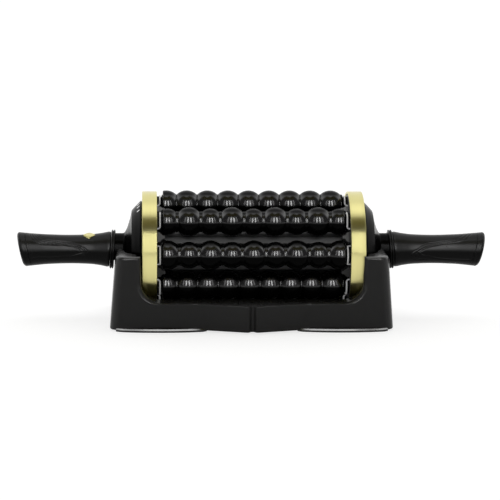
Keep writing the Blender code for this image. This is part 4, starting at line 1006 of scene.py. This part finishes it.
def roomShape():
    # The room for the roller: the drum's trough, the domes' pockets and the neck saddles.
    clear, edge, least = room["clearance"], room["troughHalfLength"], room["least"]
    saddle, above = dome["neckRadius"] + seamGap, dock["top"] + room["above"]
    line = [(x + clear * room["endShare"] + abs(dock["shift"]), radius + clear) for x, radius in domeLine()]
    inner = [point for point in line if point[0] > edge + least and point[1] > saddle + least]
    path = [(edge, room["troughRadius"]), (edge + overlap, profileAt(line, edge))] + inner
    path += [(inner[-1][0] + clear, saddle), (room["saddleEnd"], saddle)]
    levels = []
    for x, radius in mirrored(path[::-1], -1) + path:
        outline = arcPoints((0, axisHeight), radius, math.pi, math.tau, room["steps"])
        levels.append([(x + dock["shift"], y, z) for y, z in outline + [(radius, above), (-radius, above)]])
    return lofted(levels)


def makeDock():
    foot, edge, top, low = dock["footRound"], dock["topRound"], dock["top"], dock["standoff"]
    levels = [dockLevel(low + foot * (1 - math.cos(angle)), foot * (1 - math.sin(angle)))
              for angle in quarterTurn(dock["footSteps"])]
    levels += [dockLevel(top - edge * (1 - math.sin(angle)), edge * (1 - math.cos(angle)))
               for angle in quarterTurn(dock["topSteps"])]
    recess = dockOutline(dock["halfWidth"], 0, room["recessInset"])
    under = lofted([shifted(recess, height) for height in (room["below"], room["recessTop"])])
    shell = cutAway(lofted(levels), openingShape(), roomShape(), under)
    bevelled(newPiece("dockShell", shell, "dock", "dock_black", "dock_shell", sharp=30), dock["bevel"], 3, 35)


def lipOutline(side, face, inset):
    # A long lens along the foot of one flat stretch of the front or back.
    points = []
    for share in (step / lips["steps"] for step in range(lips["steps"] + 1)):
        x = lips["start"] + (lips["end"] - lips["start"]) * share
        reach = lips["reach"] * max(math.sin(math.pi * share), 0) ** lips["fullness"]
        depth = max(dock["halfDepth"] + reach - inset, lips["root"] + overlap)
        points.append((side * x, face * depth))
    return points + [(side * x, face * lips["root"]) for x in (lips["end"], lips["start"])]


def makeFootLips():
    rise = lips["top"] - lips["edge"]
    sizes = ((lips["foot"], 0), (lips["edge"], 0), (lips["top"], rise * lips["slope"]))
    shapes = [lofted([shifted(lipOutline(side, face, inset), height) for height, inset in sizes])
              for face in (-1, 1) for side in (-1, 1)]
    newPiece("dockFootLips", gathered(shapes), "dock", "lip_black", sharp=30, slot="dock_black")


makeDock()
makeFootLips()
print("dock made")


# Studio: floor, soft light and the camera at the photograph's angle.

studio = {
    "floorSize": 40.0, "floorColour": (0.50, 0.50, 0.50), "floorWhite": 0.74,
    "overhead": 1.5, "behind": 1.0, "front": 0.08, "ring": (0.105, 0.090, 0.020), "horizon": 0.13,
    "turnover": 0.12, "rampScale": 2.0,
    "strips": ((-36.0, 0.2), (-12.5, 1.0), (12.5, 1.0), (36.0, 0.2)),  # degrees aside, share of the power
    "stripDistance": 2.0, "stripWidth": 0.17, "stripLength": 1.45, "stripElevation": 23.0, "stripPower": 6.5,
    "azimuth": -2.7, "elevation": 11.0, "roll": 0.5, "distance": 2.516, "view": 12.25,
    "aimRight": -0.0019, "aimUp": -0.0011,
}


def makeFloor():
    # The white is there for the eye and for reflections; light and shadow fall on the grey.
    bm = bmesh.new()
    bmesh.ops.create_grid(bm, x_segments=1, y_segments=1, size=studio["floorSize"] / 2)
    mesh = meshFrom("floor", bm)
    colour = studio["floorColour"]
    material, tree, shader = startMaterial("floorWhite", colour)
    grain = placedGroup(tree, mouldedGrain, Grain_size=60.0, Patch_size=3.0)
    low = tuple(channel * 0.99 for channel in colour)
    path = newNode(tree, "LightPath").outputs
    seen = mathNode(tree, "MAXIMUM", path["Is Camera Ray"], path["Is Glossy Ray"])
    seen = mathNode(tree, "MAXIMUM", seen, path["Is Transmission Ray"])
    feed(tree, shader, Base_Color=mixedColour(tree, grain["Patches"], low, colour), Roughness=1.0,
         Specular_IOR_Level=0.0, Emission_Color=(1, 1, 1, 1),
         Emission_Strength=mathNode(tree, "MULTIPLY", seen, studio["floorWhite"]))
    material.cycles.emission_sampling = "NONE"
    mesh.materials.append(material)
    floor = placed("floor", mesh)


def elevationRamp(tree, height, stops):
    # Colours by elevation in degrees, scaled down so that they fit a ramp.
    node = newNode(tree, "ValToRGB", Fac=height)
    while len(node.color_ramp.elements) < len(stops):
        node.color_ramp.elements.new(0.5)
    for element, (degrees, value) in zip(node.color_ramp.elements, stops):
        colour = value if isinstance(value, tuple) else (value, value, value)
        element.position = math.sin(math.radians(degrees))
        element.color = (*[channel / studio["rampScale"] for channel in colour], 1)
    return node.outputs["Color"]


def makeWorld():
    # Bright overhead and behind, dim in front with a warm ring high up.
    world = bpy.data.worlds.new("studio")
    world.use_nodes = True
    tree = world.node_tree
    parts = newNode(tree, "SeparateXYZ", Vector=newNode(tree, "TexCoord").outputs["Generated"]).outputs
    front = elevationRamp(tree, parts["Z"], (
        (0, studio["horizon"]), (10, studio["front"]), (50, studio["front"]), (57, studio["ring"]),
        (73, studio["ring"]), (79, studio["overhead"])))
    back = elevationRamp(tree, parts["Z"], ((0, studio["behind"]), (60, studio["behind"]),
                                            (79, studio["overhead"])))
    half = studio["turnover"]
    share = newNode(tree, "MapRange", Value=parts["Y"], From_Min=-half, From_Max=half).outputs["Result"]
    feed(tree, tree.nodes["Background"], Color=mixedColour(tree, share, front, back),
         Strength=studio["rampScale"])
    bpy.context.scene.world = world


def lookFrom(azimuth, elevation, distance):
    a, e = math.radians(azimuth), math.radians(elevation)
    toward = Vector((math.sin(a) * math.cos(e), -math.cos(a) * math.cos(e), math.sin(e)))
    return Vector((0, 0, axisHeight)) + toward * distance, toward.to_track_quat("Z", "Y").to_euler()


def makeLights():
    # Upright strips that only gleam, so that the floor stays even.
    for number, (angle, share) in enumerate(studio["strips"]):
        lamp = bpy.data.lights.new(f"strip{number + 1}", "AREA")
        lamp.shape = "RECTANGLE"
        lamp.size = studio["stripWidth"]
        lamp.size_y = studio["stripLength"]
        lamp.energy = studio["stripPower"] * share
        holder = placed(lamp.name, lamp)
        holder.location, holder.rotation_euler = lookFrom(angle - studio["azimuth"], studio["stripElevation"],
                                                          studio["stripDistance"])
        holder.visible_camera = False
        holder.visible_diffuse = False


def makeCamera():
    lens = bpy.data.cameras.new("camera")
    lens.angle = math.radians(studio["view"])
    lens.clip_end = 100
    holder = placed("camera", lens)
    place, turn = lookFrom(studio["azimuth"], studio["elevation"], studio["distance"])
    holder.location = place + turn.to_matrix() @ Vector((studio["aimRight"], studio["aimUp"], 0))
    roll = Matrix.Rotation(math.radians(studio["roll"]), 3, "Z")
    holder.rotation_euler = (turn.to_matrix() @ roll).to_euler()
    bpy.context.scene.camera = holder


makeFloor()
makeWorld()
makeLights()
makeCamera()
bpy.context.scene.view_settings.view_transform = "Standard"
print("studio made")
